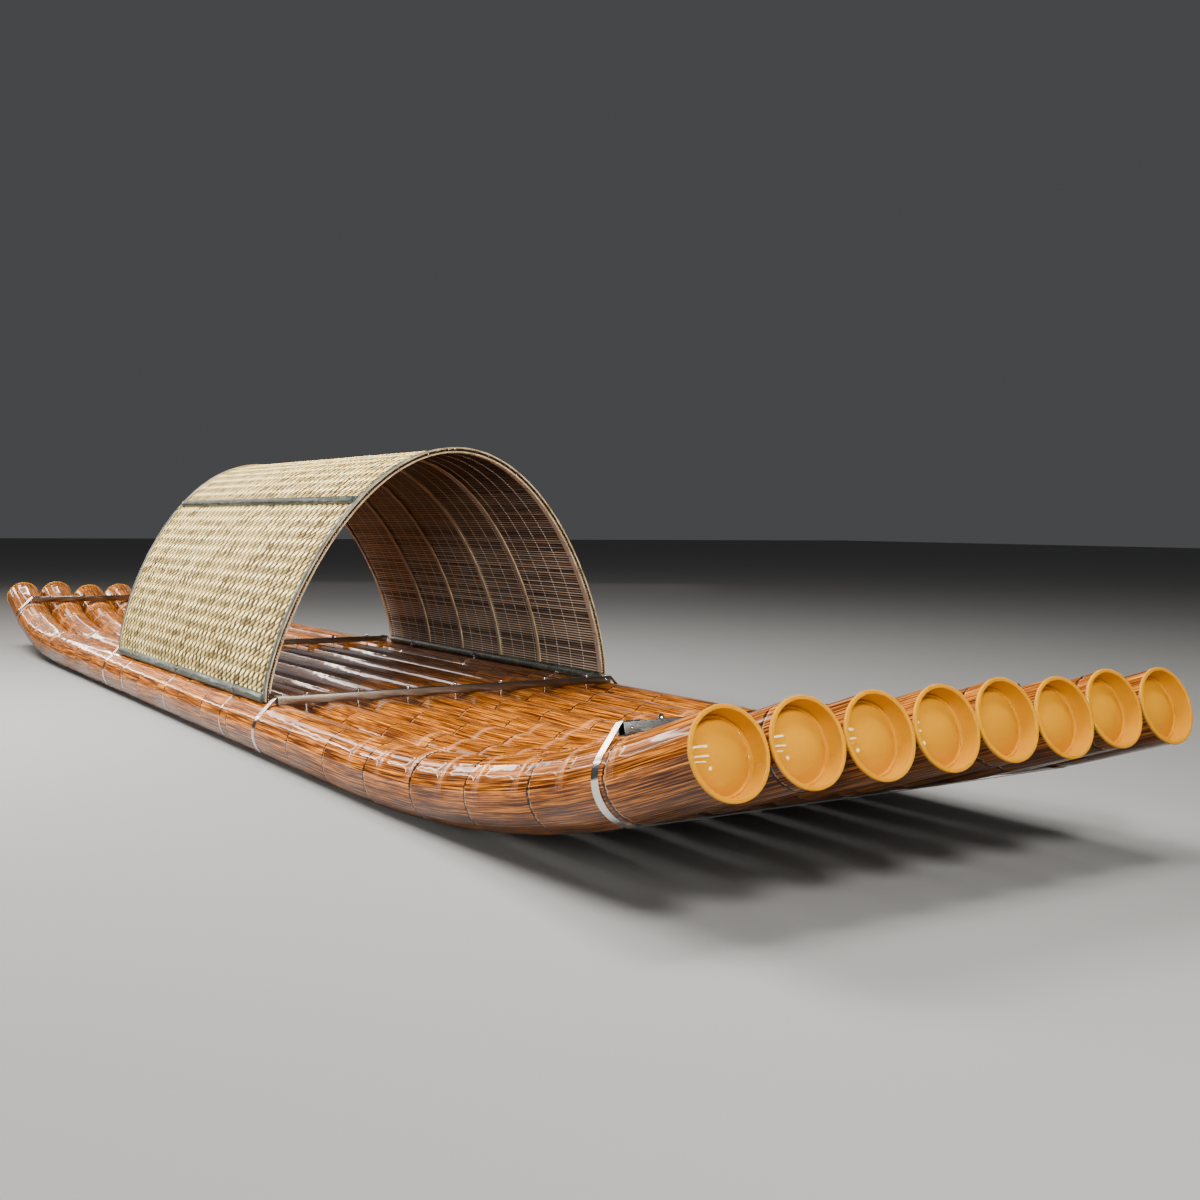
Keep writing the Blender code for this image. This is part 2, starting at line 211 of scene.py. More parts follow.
def apply_modifier(piece, kind, **values):
    """Add one modifier with its values and apply it."""
    activate(piece)
    modifier = piece.modifiers.new(kind.title(), kind)
    for key, value in values.items():
        setattr(modifier, key, value)
    bpy.ops.object.modifier_apply(modifier=modifier.name)


def repeat(piece, count, step, **values):
    """Repeat a piece in a row, each a step from the last."""
    apply_modifier(piece, "ARRAY", count=count, use_relative_offset=False, use_constant_offset=True,
                   constant_offset_displace=step, **values)


def positions(piece):
    """All the points of a piece."""
    points = np.empty(len(piece.data.vertices) * 3)
    piece.data.vertices.foreach_get("co", points)
    return points.reshape(-1, 3)


def carry(piece, route):
    """Move every point of a piece by a function of all its points."""
    moved = route(positions(piece))
    piece.data.vertices.foreach_set("co", np.ascontiguousarray(moved).ravel())
    piece.data.update()


def columns(*values):
    """Points from their coordinates, each a column or one number."""
    return np.stack(np.broadcast_arrays(*values), axis=1)


def joined(pieces):
    """Several pieces as one."""
    deselect()
    for piece in pieces:
        piece.select_set(True)
    bpy.context.view_layer.objects.active = pieces[0]
    bpy.ops.object.join()
    return pieces[0]


def store_vector(piece, name, values):
    """Keep one vector for each point of a piece, for its material."""
    attribute = piece.data.attributes.new(name, "FLOAT_VECTOR", "POINT")
    attribute.data.foreach_set("vector", np.ascontiguousarray(values, dtype=np.float32).ravel())


def tie_to_frame(piece, name, materials, replaced):
    """Name a piece, give it its materials and tie it to the frame."""
    piece.name = name
    piece.data.name = name
    for material in materials:
        piece.data.materials.append(material)
    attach(piece, "root")
    if replaced:
        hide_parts(*replaced)


def finish_piece(piece, name, materials, replaced=(), angle=30.0):
    """Turn a piece's faces outwards, shade it and tie it to the frame."""
    activate(piece)
    edit()
    bpy.ops.mesh.normals_make_consistent(inside=False)
    leave_edit()
    bpy.ops.object.shade_smooth_by_angle(angle=math.radians(angle))
    tie_to_frame(piece, name, materials, replaced)


# Lines that pieces follow


def pipe_y(index):
    """Where pipe 0 to 7 lies across the raft."""
    return (index - (PIPE_COUNT - 1) / 2.0) * PIPE_PITCH


def rising_run(kinks, tip, scale=1.0):
    """Distances, heights and headings from the first kink of a turned-up end to its tip."""
    weights = 1.0 + kinks["growth"] * np.arange(kinks["count"])
    headings = np.cumsum(weights * math.radians(kinks["total"]) * scale / weights.sum())
    distances = kinks["first"] + kinks["pitch"] * np.arange(kinks["count"])
    distances = np.append(distances, tip)
    heights = np.concatenate([[0.0], np.cumsum(np.diff(distances) * np.tan(headings))])
    return distances, heights, headings


def pipe_line(index):
    """Corner stations and heights of a pipe's centre line, and the heading after each corner."""
    ends = []
    for kinks, tip, shifts in ((STERN_KINKS, STERN_TIP, STERN_SHIFTS), (BOW_KINKS, BOW_TIP, BOW_SHIFTS)):
        along, up = shifts[index]
        nominal = rising_run(kinks, tip)[1][-1]
        ends.append(rising_run(kinks, tip + along * MILLIMETRE, 1.0 + up * MILLIMETRE / nominal))
    (stern_x, stern_z, stern_a), (bow_x, bow_z, bow_a) = ends
    stations = np.concatenate([-stern_x[::-1], bow_x])
    heights = np.concatenate([stern_z[::-1], bow_z])
    headings = np.concatenate([-stern_a[::-1], [0.0], bow_a])
    return stations, heights, headings


def along_pipe(index, points):
    """Carry straight-pipe points (station, across, up) onto a pipe's kinked centre line."""
    stations, heights, headings = pipe_line(index)
    x = points[:, 0]
    z = np.interp(x, stations, heights)
    edges = []
    values = []
    for left, right, heading in zip(stations[:-1], stations[1:], headings):
        edges += [left + KINK_LENGTH, right - KINK_LENGTH]
        values += [heading, heading]
    edges[0] = stations[0]
    edges[-1] = stations[-1]
    tilt = np.interp(x, edges, values)
    inside = np.clip(x, stations[0], stations[-1])
    beyond = x - inside
    up = points[:, 2]
    return columns(DATUM_X + inside + beyond * np.cos(tilt) - up * np.sin(tilt),
                   pipe_y(index) + points[:, 1],
                   PIPE_Z + z + beyond * np.sin(tilt) + up * np.cos(tilt))


def seat_frame(letter):
    """Height and heading of a crossbar's plane, and how far each pipe rises in it."""
    readings = []
    for index in range(PIPE_COUNT):
        stations, heights, headings = pipe_line(index)
        segment = int(np.searchsorted(stations, STATIONS[letter])) - 1
        readings.append((float(np.interp(STATIONS[letter], stations, heights)), float(headings[segment])))
    height = sum(reading[0] for reading in readings) / PIPE_COUNT
    heading = sum(reading[1] for reading in readings) / PIPE_COUNT
    rises = [(reading[0] - height) * math.cos(heading) for reading in readings]
    return height, heading, rises


def in_seat(letter, points):
    """Carry points (along the pipes, across, up from the pipes' centres) into a crossbar's plane."""
    height, heading, _ = seat_frame(letter)
    x, y, z = points.T
    return columns(DATUM_X + STATIONS[letter] + x * math.cos(heading) - z * math.sin(heading), y,
                   PIPE_Z + height + x * math.sin(heading) + z * math.cos(heading))


def seat_gap(letter):
    """Clearance between a bar or band and the pipes."""
    return SEAT_GAP if letter in ("b", "c") else BENT_SEAT_GAP


def bar_top(letter):
    """Height of a crossbar's top in its own plane."""
    return PIPE_RADIUS + max(seat_frame(letter)[2]) + seat_gap(letter) + BAR_SIZE


def path_lengths(path):
    """Distance along a path at each of its points."""
    return np.concatenate([[0.0], np.cumsum(np.hypot(*np.diff(path, axis=0).T))])


def follow(path, points):
    """Carry flat points (distance, sideways, off the face) along a path in the YZ plane."""
    steps = np.diff(path, axis=0)
    lengths = path_lengths(path)
    tangents = steps / np.hypot(steps[:, 0], steps[:, 1])[:, None]
    corner = np.vstack([tangents[:1], tangents[:-1] + tangents[1:], tangents[-1:]])
    corner /= np.hypot(corner[:, 0], corner[:, 1])[:, None]
    s = np.clip(points[:, 0], 0.0, lengths[-1])
    past = points[:, 0] - s
    y, z, ty, tz = (np.interp(s, lengths, values) for values in (*path.T, *corner.T))
    size = np.hypot(ty, tz)
    ty /= size
    tz /= size
    return columns(points[:, 1], y + past * ty + points[:, 2] * -tz, z + past * tz + points[:, 2] * ty)


def arch_path():
    """The mat's outer face from the starboard foot to the port foot, as Y and Z."""
    t = np.linspace(0.0, math.pi, ARCH_SAMPLES)
    y = -ARCH_HALF_WIDTH * np.cos(t)
    z = ARCH_SPRING_HEIGHT + ARCH_RISE * np.sin(t) ** ARCH_POWER
    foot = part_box("canopy_mat")[0].z
    legs = np.linspace(foot, ARCH_SPRING_HEIGHT, 8)[:-1]
    y = np.concatenate([np.full(7, y[0]), y, np.full(7, y[-1])])
    z = np.concatenate([legs, z, legs[::-1]])
    return np.stack([y, z], axis=1)


ARCH = arch_path()
ARCH_LENGTH = float(path_lengths(ARCH)[-1])


def over_arch(points):
    """Carry flat points (station, distance up the arch, off the mat) over the leaning arch."""
    laid = follow(ARCH, points[:, [1, 0, 2]])
    share = (points[:, 0] - CANOPY_STERN) / CANOPY_LENGTH
    lean = LEAN_STERN + share * (LEAN_BOW - LEAN_STERN)
    laid[:, 1] += lean * np.clip(laid[:, 2] - ARCH_SPRING_HEIGHT, 0.0, None) / ARCH_RISE
    laid[:, 0] += DATUM_X
    return laid


def arch_distance(height, side):
    """Distance up the arch at which its face reaches a height, on one side."""
    half = len(ARCH) // 2
    rising = float(np.interp(height, ARCH[:half, 1], path_lengths(ARCH)[:half]))
    return rising if side < 0 else ARCH_LENGTH - rising


# Materials


class Flow:
    """What flows out of a node. Sums of flows add the nodes that they need."""

    def __init__(self, recipe, socket):
        self.recipe = recipe
        self.socket = socket

    def sum(self, operation, other=0.0):
        """A sum of this and another flow or number."""
        return self.recipe.add("ShaderNodeMath", {0: self, 1: other}, operation=operation)

    def __add__(self, other):
        return self.sum("ADD", other)

    def __sub__(self, other):
        return self.sum("SUBTRACT", other)

    def __mul__(self, other):
        return self.sum("MULTIPLY", other)

    def __truediv__(self, other):
        return self.sum("DIVIDE", other)

    def __abs__(self):
        return self.sum("ABSOLUTE")

    def floor(self):
        """The whole number below."""
        return self.sum("FLOOR")

    def fract(self):
        """What is left above the whole number below."""
        return self.sum("FRACT")

    def window(self, low, high):
        """The value stretched so that low gives 0 and high gives 1."""
        return self.recipe.add("ShaderNodeMapRange", {"Value": self, "From Min": low, "From Max": high})

    def toward(self, tint, share):
        """The colour mixed with a tint."""
        inputs = {"Factor": share, "A": self, "B": (*tint, 1.0)}
        return self.recipe.add("ShaderNodeMix", inputs, data_type="RGBA")


class Recipe:
    """A material's node tree, built step by step."""

    def __init__(self, name):
        self.material = bpy.data.materials.new(name)
        self.material.use_nodes = True
        self.tree = self.material.node_tree
        self.shader = self.tree.nodes["Principled BSDF"]

    def feed(self, node, inputs):
        """Link flows to a node's sockets, or set the sockets' own values."""
        for key, value in inputs.items():
            if isinstance(value, Flow):
                self.tree.links.new(value.socket, node.inputs[key])
            else:
                node.inputs[key].default_value = value

    def add(self, kind, inputs, output=None, **values):
        """Add a node with its inputs and properties, and give its first or named output."""
        node = self.tree.nodes.new(kind)
        for key, value in values.items():
            setattr(node, key, value)
        self.feed(node, inputs)
        outputs = [socket for socket in node.outputs if socket.enabled]
        return Flow(self, node.outputs[output] if output else outputs[0])

    def attribute(self, name):
        """A vector kept on the piece."""
        return self.add("ShaderNodeAttribute", {}, "Vector", attribute_name=name)

    def place(self):
        """Object coordinates."""
        return self.add("ShaderNodeTexCoord", {}, "Object")

    def parts(self, vector):
        """The three parts of a vector."""
        node = self.add("ShaderNodeSeparateXYZ", {0: vector}).socket.node
        return [Flow(self, socket) for socket in node.outputs]

    def moved(self, vector, x, y, z):
        """A vector moved by three numbers."""
        shift = self.add("ShaderNodeCombineXYZ", {0: x, 1: y, 2: z})
        return self.add("ShaderNodeVectorMath", {0: vector, 1: shift}, operation="ADD")

    def noise(self, vector, scale, detail=2.0, rough=0.5):
        """Noise from 0 to 1, at one scale or at a scale along each axis."""
        if isinstance(scale, tuple):
            vector = self.add("ShaderNodeMapping", {"Vector": vector, "Scale": scale})
            scale = 1.0
        return self.add("ShaderNodeTexNoise", {"Vector": vector, "Scale": scale, "Detail": detail,
                                               "Roughness": rough}, "Fac")

    def ramp(self, value, stops):
        """Colours along a value."""
        flow = self.add("ShaderNodeValToRGB", {"Fac": value}, "Color")
        elements = flow.socket.node.color_ramp.elements
        while len(elements) < len(stops):
            elements.new(0.5)
        for element, (place, color) in zip(elements, stops):
            element.position = place
            element.color = (*color, 1.0)
        return flow

    def bump(self, height, distance, strength, **below):
        """Small relief from a height, on top of any relief below."""
        inputs = {"Height": height, "Distance": distance, "Strength": strength}
        return self.add("ShaderNodeBump", {**inputs, **below})

    def done(self, color, rough, relief=None, specular=0.5, others=()):
        """Connect the finished colour, roughness, relief and gloss."""
        inputs = {"Base Color": color, "Roughness": rough, "Specular IOR Level": specular, **dict(others)}
        if relief is not None:
            inputs["Normal"] = relief
        self.feed(self.shader, inputs)
        return self.material


SEAM_PITCH = 0.3308
FIRST_SEAM = 0.348
FILM_BROWNS = [
    (0.39, (0.016, 0.0035, 0.0005)),
    (0.45, (0.095, 0.024, 0.0014)),
    (0.50, (0.225, 0.061, 0.0034)),
    (0.55, (0.390, 0.116, 0.008)),
    (0.62, (0.740, 0.245, 0.032)),
]
OLIVE_STRAW = [
    (0.20, (0.110, 0.079, 0.024)),
    (0.42, (0.310, 0.222, 0.074)),
    (0.60, (0.590, 0.430, 0.150)),
    (0.80, (0.880, 0.660, 0.250)),
]
PALE_STRAW = [
    (0.20, (0.600, 0.430, 0.140)),
    (0.45, (0.900, 0.680, 0.245)),
    (0.60, (0.980, 0.780, 0.320)),
    (0.80, (0.990, 0.870, 0.420)),
]
SLAT_BROWNS = [
    (0.20, (0.030, 0.018, 0.013)),
    (0.50, (0.075, 0.046, 0.032)),
    (0.75, (0.130, 0.083, 0.053)),
    (0.95, (0.250, 0.168, 0.108)),
]
BAMBOO_GREENS = [
    (0.36, (0.006, 0.010, 0.008)),
    (0.48, (0.022, 0.032, 0.026)),
    (0.56, (0.052, 0.068, 0.057)),
    (0.65, (0.170, 0.195, 0.165)),
]
LATH_TANS = [(0.3, (0.23, 0.155, 0.115)), (0.5, (0.41, 0.300, 0.225)), (0.7, (0.62, 0.49, 0.38))]
CUT_STRAWS = [(0.3, (0.30, 0.200, 0.085)), (0.5, (0.62, 0.47, 0.25)), (0.7, (0.86, 0.72, 0.45))]
DEEP_SHADE = (0.010, 0.005, 0.003)
SLAT_HIGHLIGHT_LINE = 0.74
SLAT_GAP = 0.40
NODE_PITCH = 0.37


def film_material():
    """Glossy printed film: fine brown wood grain in sections, with burnt, broken seams between them. It
    carries painted shade towards each pipe's underside, and a pale mark at the pleats that is partly
    stretched film and partly a painted highlight.
    """
    r = Recipe("wood_grain_film")
    straight = r.attribute("straight")
    lift, stretch_sheen, edge = r.parts(r.attribute("girth"))
    jog = r.noise(straight, (0.5, 26.0, 26.0), 3.0) * 0.016
    turns = (r.parts(straight)[0] + jog) / SEAM_PITCH
    section = turns.floor()
    printed = r.moved(straight, 0.0, section * 0.731, section * 1.377)
    broad = r.noise(printed, (1.6, 30.0, 30.0))
    streak = r.noise(printed, (4.2, 290.0, 290.0), 3.0, 0.60)
    fine = r.noise(printed, (9.0, 480.0, 480.0), 2.0, 0.6)
    color = r.ramp(broad * 0.14 + streak * 0.86, FILM_BROWNS)
    color = color.toward((0.050, 0.011, 0.001), fine.window(0.47, 0.39) * 0.80)
    # Painted shade: the film is darkened towards the underside of each pipe.
    color = color.toward((0.022, 0.008, 0.002), lift.window(0.10, -0.75) * 0.55)
    # Pale at the pleats on the upper side: partly stretched film, partly a painted highlight.
    color = color.toward((0.62, 0.30, 0.15), stretch_sheen * 0.34)

    side = ((turns + 0.5).fract() - 0.5) * SEAM_PITCH
    heavy = lift.window(0.0, 0.9) * stretch_sheen.window(0.10, 0.6)
    blot = r.noise(straight, (45.0, 95.0, 95.0), 3.0).window(0.44, 0.66)
    reach = blot * 0.0046 + 0.0031 + heavy * 0.0040
    pale_reach = reach + 0.0022
    pale = abs(side - pale_reach).window(0.0026, 0.0010)
    worn = r.noise(straight, (20.0, 70.0, 70.0), 3.0).window(0.42, 0.56)
    color = color.toward((0.70, 0.42, 0.25), pale * worn * 0.40)
    torn_back = abs(side + pale_reach).window(0.0030, 0.0012)
    color = color.toward((0.85, 0.62, 0.45), torn_back * (heavy * 0.8))
    line = (abs(side) / reach).window(1.25, 0.75)
    broken = r.noise(straight, (60.0, 110.0, 110.0), 3.0).window(0.44, 0.52)
    color = color.toward((0.006, 0.002, 0.001), line * (broken * 0.35 + 0.65))

    wrinkle = r.noise(straight, (30.0, 120.0, 120.0), 3.0)
    torn = (edge + wrinkle * 0.006).window(0.0075, 0.0035)
    color = color.toward((0.34, 0.24, 0.22), torn * 0.7)
    color = color.toward((0.030, 0.014, 0.008), edge.window(0.0022, 0.0006))

    shine = r.noise(straight, (2.2, 9.0, 9.0)).window(0.30, 0.62)
    slack = r.bump(r.noise(straight, (6.0, 14.0, 14.0)), 0.0030, 0.5)
    relief = r.bump(fine * 0.30 - line * 0.5, 0.0006, 0.6, Normal=slack)
    coat = {"Coat Weight": shine * 0.50 + 0.25, "Coat Roughness": 0.05, "Coat Normal": slack}
    return r.done(color, fine * 0.20 + 0.34, relief, 0.04, coat)


def cap_material():
    """Amber plastic, glossy and a little uneven, with a few dark specks."""
    r = Recipe("amber_plastic")
    place = r.place()
    color = r.ramp(r.noise(place, 9.0, 3.0), [(0.3, (0.52, 0.212, 0.0003)), (0.7, (0.60, 0.248, 0.0006))])
    color = color.toward((0.40, 0.14, 0.02), r.noise(place, 240.0).window(0.70, 0.76) * 0.30)
    rough = r.noise(place, 30.0, 5.0) * 0.14 + 0.30
    coat = {"Coat Weight": 0.3, "Coat Roughness": 0.012}
    return r.done(color, rough, r.bump(r.noise(place, 14.0), 0.0008, 0.2), 0.0, coat)


def steel_material(name, rough, spread, wave_height, shade=1.0, painted_warmth=0.0):
    """Stainless steel with fine scratches, more or less polished, flat and bright. Shade darkens its colour
    and painted_warmth warms it: on the crossbars these are painted shade and a painted reflection of the
    brown deck, on the dull wire shade is the wire's own grey.
    """
    r = Recipe(name)
    place = r.place()
    scratch = r.noise(place, (700.0, 24.0, 24.0), 3.0)
    # On the crossbars this darkening and warming is painted shade and a painted reflection of the deck.
    tint = np.array([1.0, 0.98 - 0.5 * painted_warmth, 0.94 - painted_warmth]) * shade
    color = r.ramp(r.noise(place, 7.0, 3.0), [(0.3, (0.70 * tint).tolist()), (0.7, (0.88 * tint).tolist())])
    wave = r.noise(place, (9.0, 5.0, 9.0), 1.0)
    return r.done(color, scratch * spread + rough, r.bump(wave, wave_height, 0.35), others={"Metallic": 1.0})


def straw_material(name, shades):
    """Split straw-coloured strips, each of its own tone, with split lines and stains along them, and painted
    shade along their edges and where they dive under crossing strips.
    """
    r = Recipe(name)
    strip = r.attribute("strip")
    fibre = r.noise(strip, (0.0, 22.0, 1100.0), 4.0, 0.6)
    patch = r.noise(strip, (7.0, 16.0, 0.0))
    color = r.ramp(r.parts(strip)[0] * 0.50 + fibre * 0.26 + patch * 0.24, shades)
    splits = r.noise(strip, (3.0, 9.0, 420.0)).window(0.66, 0.72)
    color = color.toward((0.115, 0.075, 0.035), splits * 0.65)
    reach, across, _ = r.parts(r.attribute("float"))
    across = abs(across)
    # Painted shade along each strip's edges, where it meets its neighbours.
    color = color.toward((0.085, 0.052, 0.020), across.window(0.58, 1.04) * 0.80)
    # Painted shade where a strip dives under the crossing strips.
    dive_shade = (reach + across * 0.25).window(0.56, 0.94)
    color = color.toward((0.020, 0.012, 0.005), dive_shade * 0.95)
    brown = r.noise(strip, (5.0, 3.0, 0.0)).window(0.60, 0.72)
    color = color.toward((0.62, 0.38, 0.18), brown * 0.35)
    return r.done(color, fibre * 0.25 + 0.36, r.bump(fibre, 0.0006, 0.6), 0.25)


def shadow_sheet_material():
    """Painted shade: the dark colour of a sheet that stands for the shade under the weave, seen between its
    strips.
    """
    r = Recipe("weave_shadow")
    grain = r.noise(r.place(), (60.0, 8.0, 8.0), 3.0)
    color = r.ramp(grain, [(0.3, (0.030, 0.019, 0.008)), (0.7, (0.085, 0.055, 0.026))])
    return r.done(color, 0.8, specular=0.2)


def slat_material():
    """Dark brown slats, no two quite alike, each with a painted highlight line along its upper edge, with
    painted shade in the gaps between them and towards the top of the arch.
    """
    r = Recipe("dark_slats")
    strip = r.attribute("strip")
    shade, _, width = r.parts(strip)
    grain = r.noise(strip, (3.0, 5.0, 900.0), 3.0)
    color = r.ramp(shade * 0.55 + grain * 0.45, SLAT_BROWNS)
    across = (width / SLAT_PITCH).fract()
    # Painted highlight: a pale line along each slat's upper edge.
    line = abs(across - SLAT_HIGHLIGHT_LINE).window(0.24, 0.12)
    patchy = r.noise(strip, (4.0, 3.0, 0.0))
    color = color.toward((0.84, 0.66, 0.50), line * (patchy + shade).window(0.40, 1.15))
    # Painted shade in the gaps between slats and towards the top of the arch.
    color = color.toward(DEEP_SHADE, abs(across - SLAT_GAP).window(0.16, 0.06) * 0.75)
    color = color.toward(DEEP_SHADE, abs(width - ARCH_LENGTH / 2.0).window(0.85, 0.30) * 0.92)
    return r.done(color, 0.48, r.bump(grain, 0.0004, 0.4), 0.3)


def thread_material():
    """Pale twisted thread, darkened as painted shade except where it crosses a slat's highlight line."""
    r = Recipe("pale_thread")
    strip = r.attribute("strip")
    twist = r.noise(strip, (0.0, 130.0, 400.0))
    color = r.ramp(twist, [(0.30, (0.55, 0.47, 0.39)), (0.55, (0.98, 0.92, 0.84))])
    across = (r.parts(strip)[1] / SLAT_PITCH).fract()
    # Painted shade on the thread away from the slats' highlight line.
    tuck_shade = abs(across - SLAT_HIGHLIGHT_LINE).window(0.16, 0.34)
    return r.done(color.toward((0.060, 0.038, 0.026), tuck_shade * 0.85), 0.8, specular=0.2)


def off_node(shade, length):
    """How far a place is from the nearest node of a pole or lath, in node spacings."""
    return abs((length / NODE_PITCH + shade).fract() - 0.5)


def lath_material():
    """Tan inner face of split bamboo, with fibres and darker nodes."""
    r = Recipe("tan_lath")
    strip = r.attribute("strip")
    shade, length, _ = r.parts(strip)
    fibre = r.noise(strip, (0.0, 9.0, 900.0), 4.0, 0.6)
    color = r.ramp(fibre, LATH_TANS)
    color = color.toward((0.09, 0.045, 0.024), off_node(shade, length).window(0.016, 0.006) * 0.55)
    return r.done(color, 0.42, r.bump(fibre, 0.0005, 0.4), 0.4)


def cut_material():
    """Pale straw-coloured cut edge of split bamboo, with its fibres showing."""
    r = Recipe("cut_bamboo")
    strip = r.attribute("strip")
    fibre = r.noise(strip, (0.0, 14.0, 1600.0), 3.0, 0.6)
    color = r.ramp(fibre, CUT_STRAWS)
    stain = r.noise(strip, (3.0, 9.0, 0.0), 3.0).window(0.52, 0.66)
    color = color.toward((0.22, 0.13, 0.06), stain * 0.45)
    return r.done(color, 0.48, r.bump(fibre, 0.0004, 0.4), 0.3)


def bamboo_material(name, lit_share):
    """Waxy grey-green skin of split bamboo, with bloom, scratches and dark rings at its nodes, darkened as
    painted shade when lit_share is below 1.
    """
    r = Recipe(name)
    strip = r.attribute("strip")
    shade, length, _ = r.parts(strip)
    cloud = r.noise(strip, (4.0, 5.0, 60.0), 4.0)
    fibre = r.noise(strip, (0.0, 12.0, 700.0), 4.0, 0.6)
    color = r.ramp(cloud * 0.65 + fibre * 0.35, BAMBOO_GREENS)
    bloom = r.noise(strip, (7.0, 26.0, 70.0), 5.0, 0.65).window(0.52, 0.62)
    color = color.toward((0.23, 0.240, 0.205), bloom * 0.50)
    # Painted shade: the whole colour darkened by what lit_share leaves out.
    color = color.toward((0.004, 0.005, 0.004), 1.0 - lit_share)
    color = color.toward((0.020, 0.017, 0.012), off_node(shade, length).window(0.012, 0.005) * 0.75)
    return r.done(color, cloud * 0.3 + 0.32, r.bump(fibre, 0.0005, 0.4))


# Pipes and caps


def ring_stations(index, pleats):
    """Stations of a pipe's rings, close together at its pleats."""
    stations = pipe_line(index)[0]
    marks = [stations[0] + FLANGE, stations[-1] - FLANGE, *pleats]
    for pleat in pleats:
        marks += [pleat + side * step for step in PLEAT_STEPS for side in (-1.0, 1.0)]
    marks.sort()
    filled = marks[:1]
    for mark in marks[1:]:
        gap = mark - filled[-1]
        extra = int(gap // STRAIGHT_STEP)
        filled += [filled[-1] + gap / (extra + 1)] * extra + [mark]
    return np.array(filled)


def lying_cylinder(sides, radius, length, ends="NGON"):
    """Cylinder along X from 0."""
    deselect()
    bpy.ops.mesh.primitive_cylinder_add(
        vertices=sides, radius=radius, depth=length, end_fill_type=ends,
        location=(length / 2.0, 0.0, 0.0), rotation=(0.0, math.pi / 2.0, 0.0),
    )
    cylinder = bpy.context.object
    settle(cylinder)
    return cylinder


def ringed_tube(ring_count, sides, radius):
    """Open tube along X with one ring at each whole number from 0, and the number of each point's ring."""
    tube = lying_cylinder(sides, radius, 1.0, "NOTHING")
    repeat(tube, ring_count - 1, (1.0, 0.0, 0.0), use_merge_vertices=True, merge_threshold=0.0001)
    return tube, np.rint(positions(tube)[:, 0]).astype(int)


def open_socket(pipe, station, facing):
    """Turn a tube's open end into a pipe's wall and a closed socket."""
    activate(pipe)
    pick(pipe, "VERT", lambda vertex: abs(vertex.co.x - station) < 1e-5)
    bpy.ops.mesh.select_mode(type="EDGE")
    inner = (PIPE_RADIUS - PIPE_WALL) / PIPE_RADIUS
    bpy.ops.mesh.extrude_region_move(TRANSFORM_OT_translate={"value": (0.0, 0.0, 0.0)})
    bpy.ops.transform.resize(value=(1.0, inner, inner), center_override=(station, 0.0, 0.0))
    bpy.ops.mesh.extrude_region_move(TRANSFORM_OT_translate={"value": (-facing * SOCKET_DEPTH, 0.0, 0.0)})
    bpy.ops.mesh.edge_face_add()
    leave_edit()


def bell(offset, width):
    """A smooth bump of height 1 round an offset of 0."""
    return np.exp(-((offset / width) ** 2))


def pleat_relief(x, lift, pleats):
    """How far the film stands out in two folds at each pleat, and how far it is painted pale there: partly
    stretched film, partly a painted highlight on the pipe's upper side.
    """
    relief = np.zeros_like(x)
    stretch_sheen = np.zeros_like(x)
    reach = np.clip(lift * 1.5 + 0.35, 0.0, 1.0)
    for pleat, size in pleats:
        off = x - pleat
        relief += SWELL_HEIGHT * size * bell(off, SWELL_WIDTH) * reach
        # Pale mark kept to the upper side: partly stretched film, partly painted highlight.
        stretch_sheen += size * bell(off, STRETCH_SHEEN_WIDTH) * np.clip(lift * 2.2 - 0.2, 0.0, 1.0)
        for side in (-PLEAT_FOLD, PLEAT_FOLD):
            relief += FOLD_HEIGHT * size * bell(off - side, FOLD_WIDTH) * reach
    return relief, stretch_sheen


def paint(piece, materials, test):
    """Give a piece two materials, the second on the faces that pass a test."""
    for material in materials:
        piece.data.materials.append(material)
    for face in piece.data.polygons:
        face.material_index = int(test(face))


def build_pipe(index, film, amber, dice):
    """One kinked pipe, its film pleated at each kink."""
    stations, _, headings = pipe_line(index)
    bends = np.abs(np.diff(headings))
    pleats = []
    for station, bend in zip(stations[1:-1], bends):
        size = 0.75 + 0.40 * bend / bends.max() + dice.uniform(-0.2, 0.2)
        pleats.append((station + dice.uniform(-0.010, 0.010) * min(index, 1), size))
    rings = ring_stations(index, [pleat for pleat, _ in pleats])
    pipe, order = ringed_tube(len(rings), PIPE_SIDES, PIPE_RADIUS)
    carry(pipe, lambda points: columns(rings[order], points[:, 1], points[:, 2]))
    open_socket(pipe, rings[-1], 1.0)
    open_socket(pipe, rings[0], -1.0)
    skin = PIPE_RADIUS - 0.4 * PIPE_WALL
    paint(pipe, (film, amber), lambda face: math.hypot(face.center.y, face.center.z) < skin)
    straight = positions(pipe)
    x, y, z = straight.T
    seam = FIRST_SEAM if index == 0 else dice.uniform(0.0, SEAM_PITCH)
    store_vector(pipe, "straight", straight + np.array([-seam, index * 3.1, index * 1.7]))
    lift = z / PIPE_RADIUS
    relief, stretch_sheen = pleat_relief(x, lift, pleats)
    store_vector(pipe, "girth", columns(lift, stretch_sheen, np.minimum(rings[-1] - x, x - rings[0])))
    swell = 1.0 + np.where(np.hypot(y, z) > skin, relief, 0.0) / PIPE_RADIUS
    carry(pipe, lambda _: along_pipe(index, columns(x, y * swell, z * swell)))
    finish_piece(pipe, f"film_pipe_{index + 1}", [], [f"pipe_{index + 1}"])


CAP_SIDES = 96
DOME_REACH = 0.0815
DOME_RISE = 0.0235
CAP_FLOOR = -0.0450


def dome_profile():
    """A cap's round floor from its middle out to its ledge, as radius and depth."""
    ball = (DOME_RISE ** 2 + DOME_REACH ** 2) / (2.0 * DOME_RISE)
    radii = np.linspace(0.0, DOME_REACH, 12)
    depths = CAP_FLOOR + DOME_RISE - ball + np.sqrt(ball ** 2 - radii ** 2)
    return list(zip(radii.tolist(), depths.tolist()))


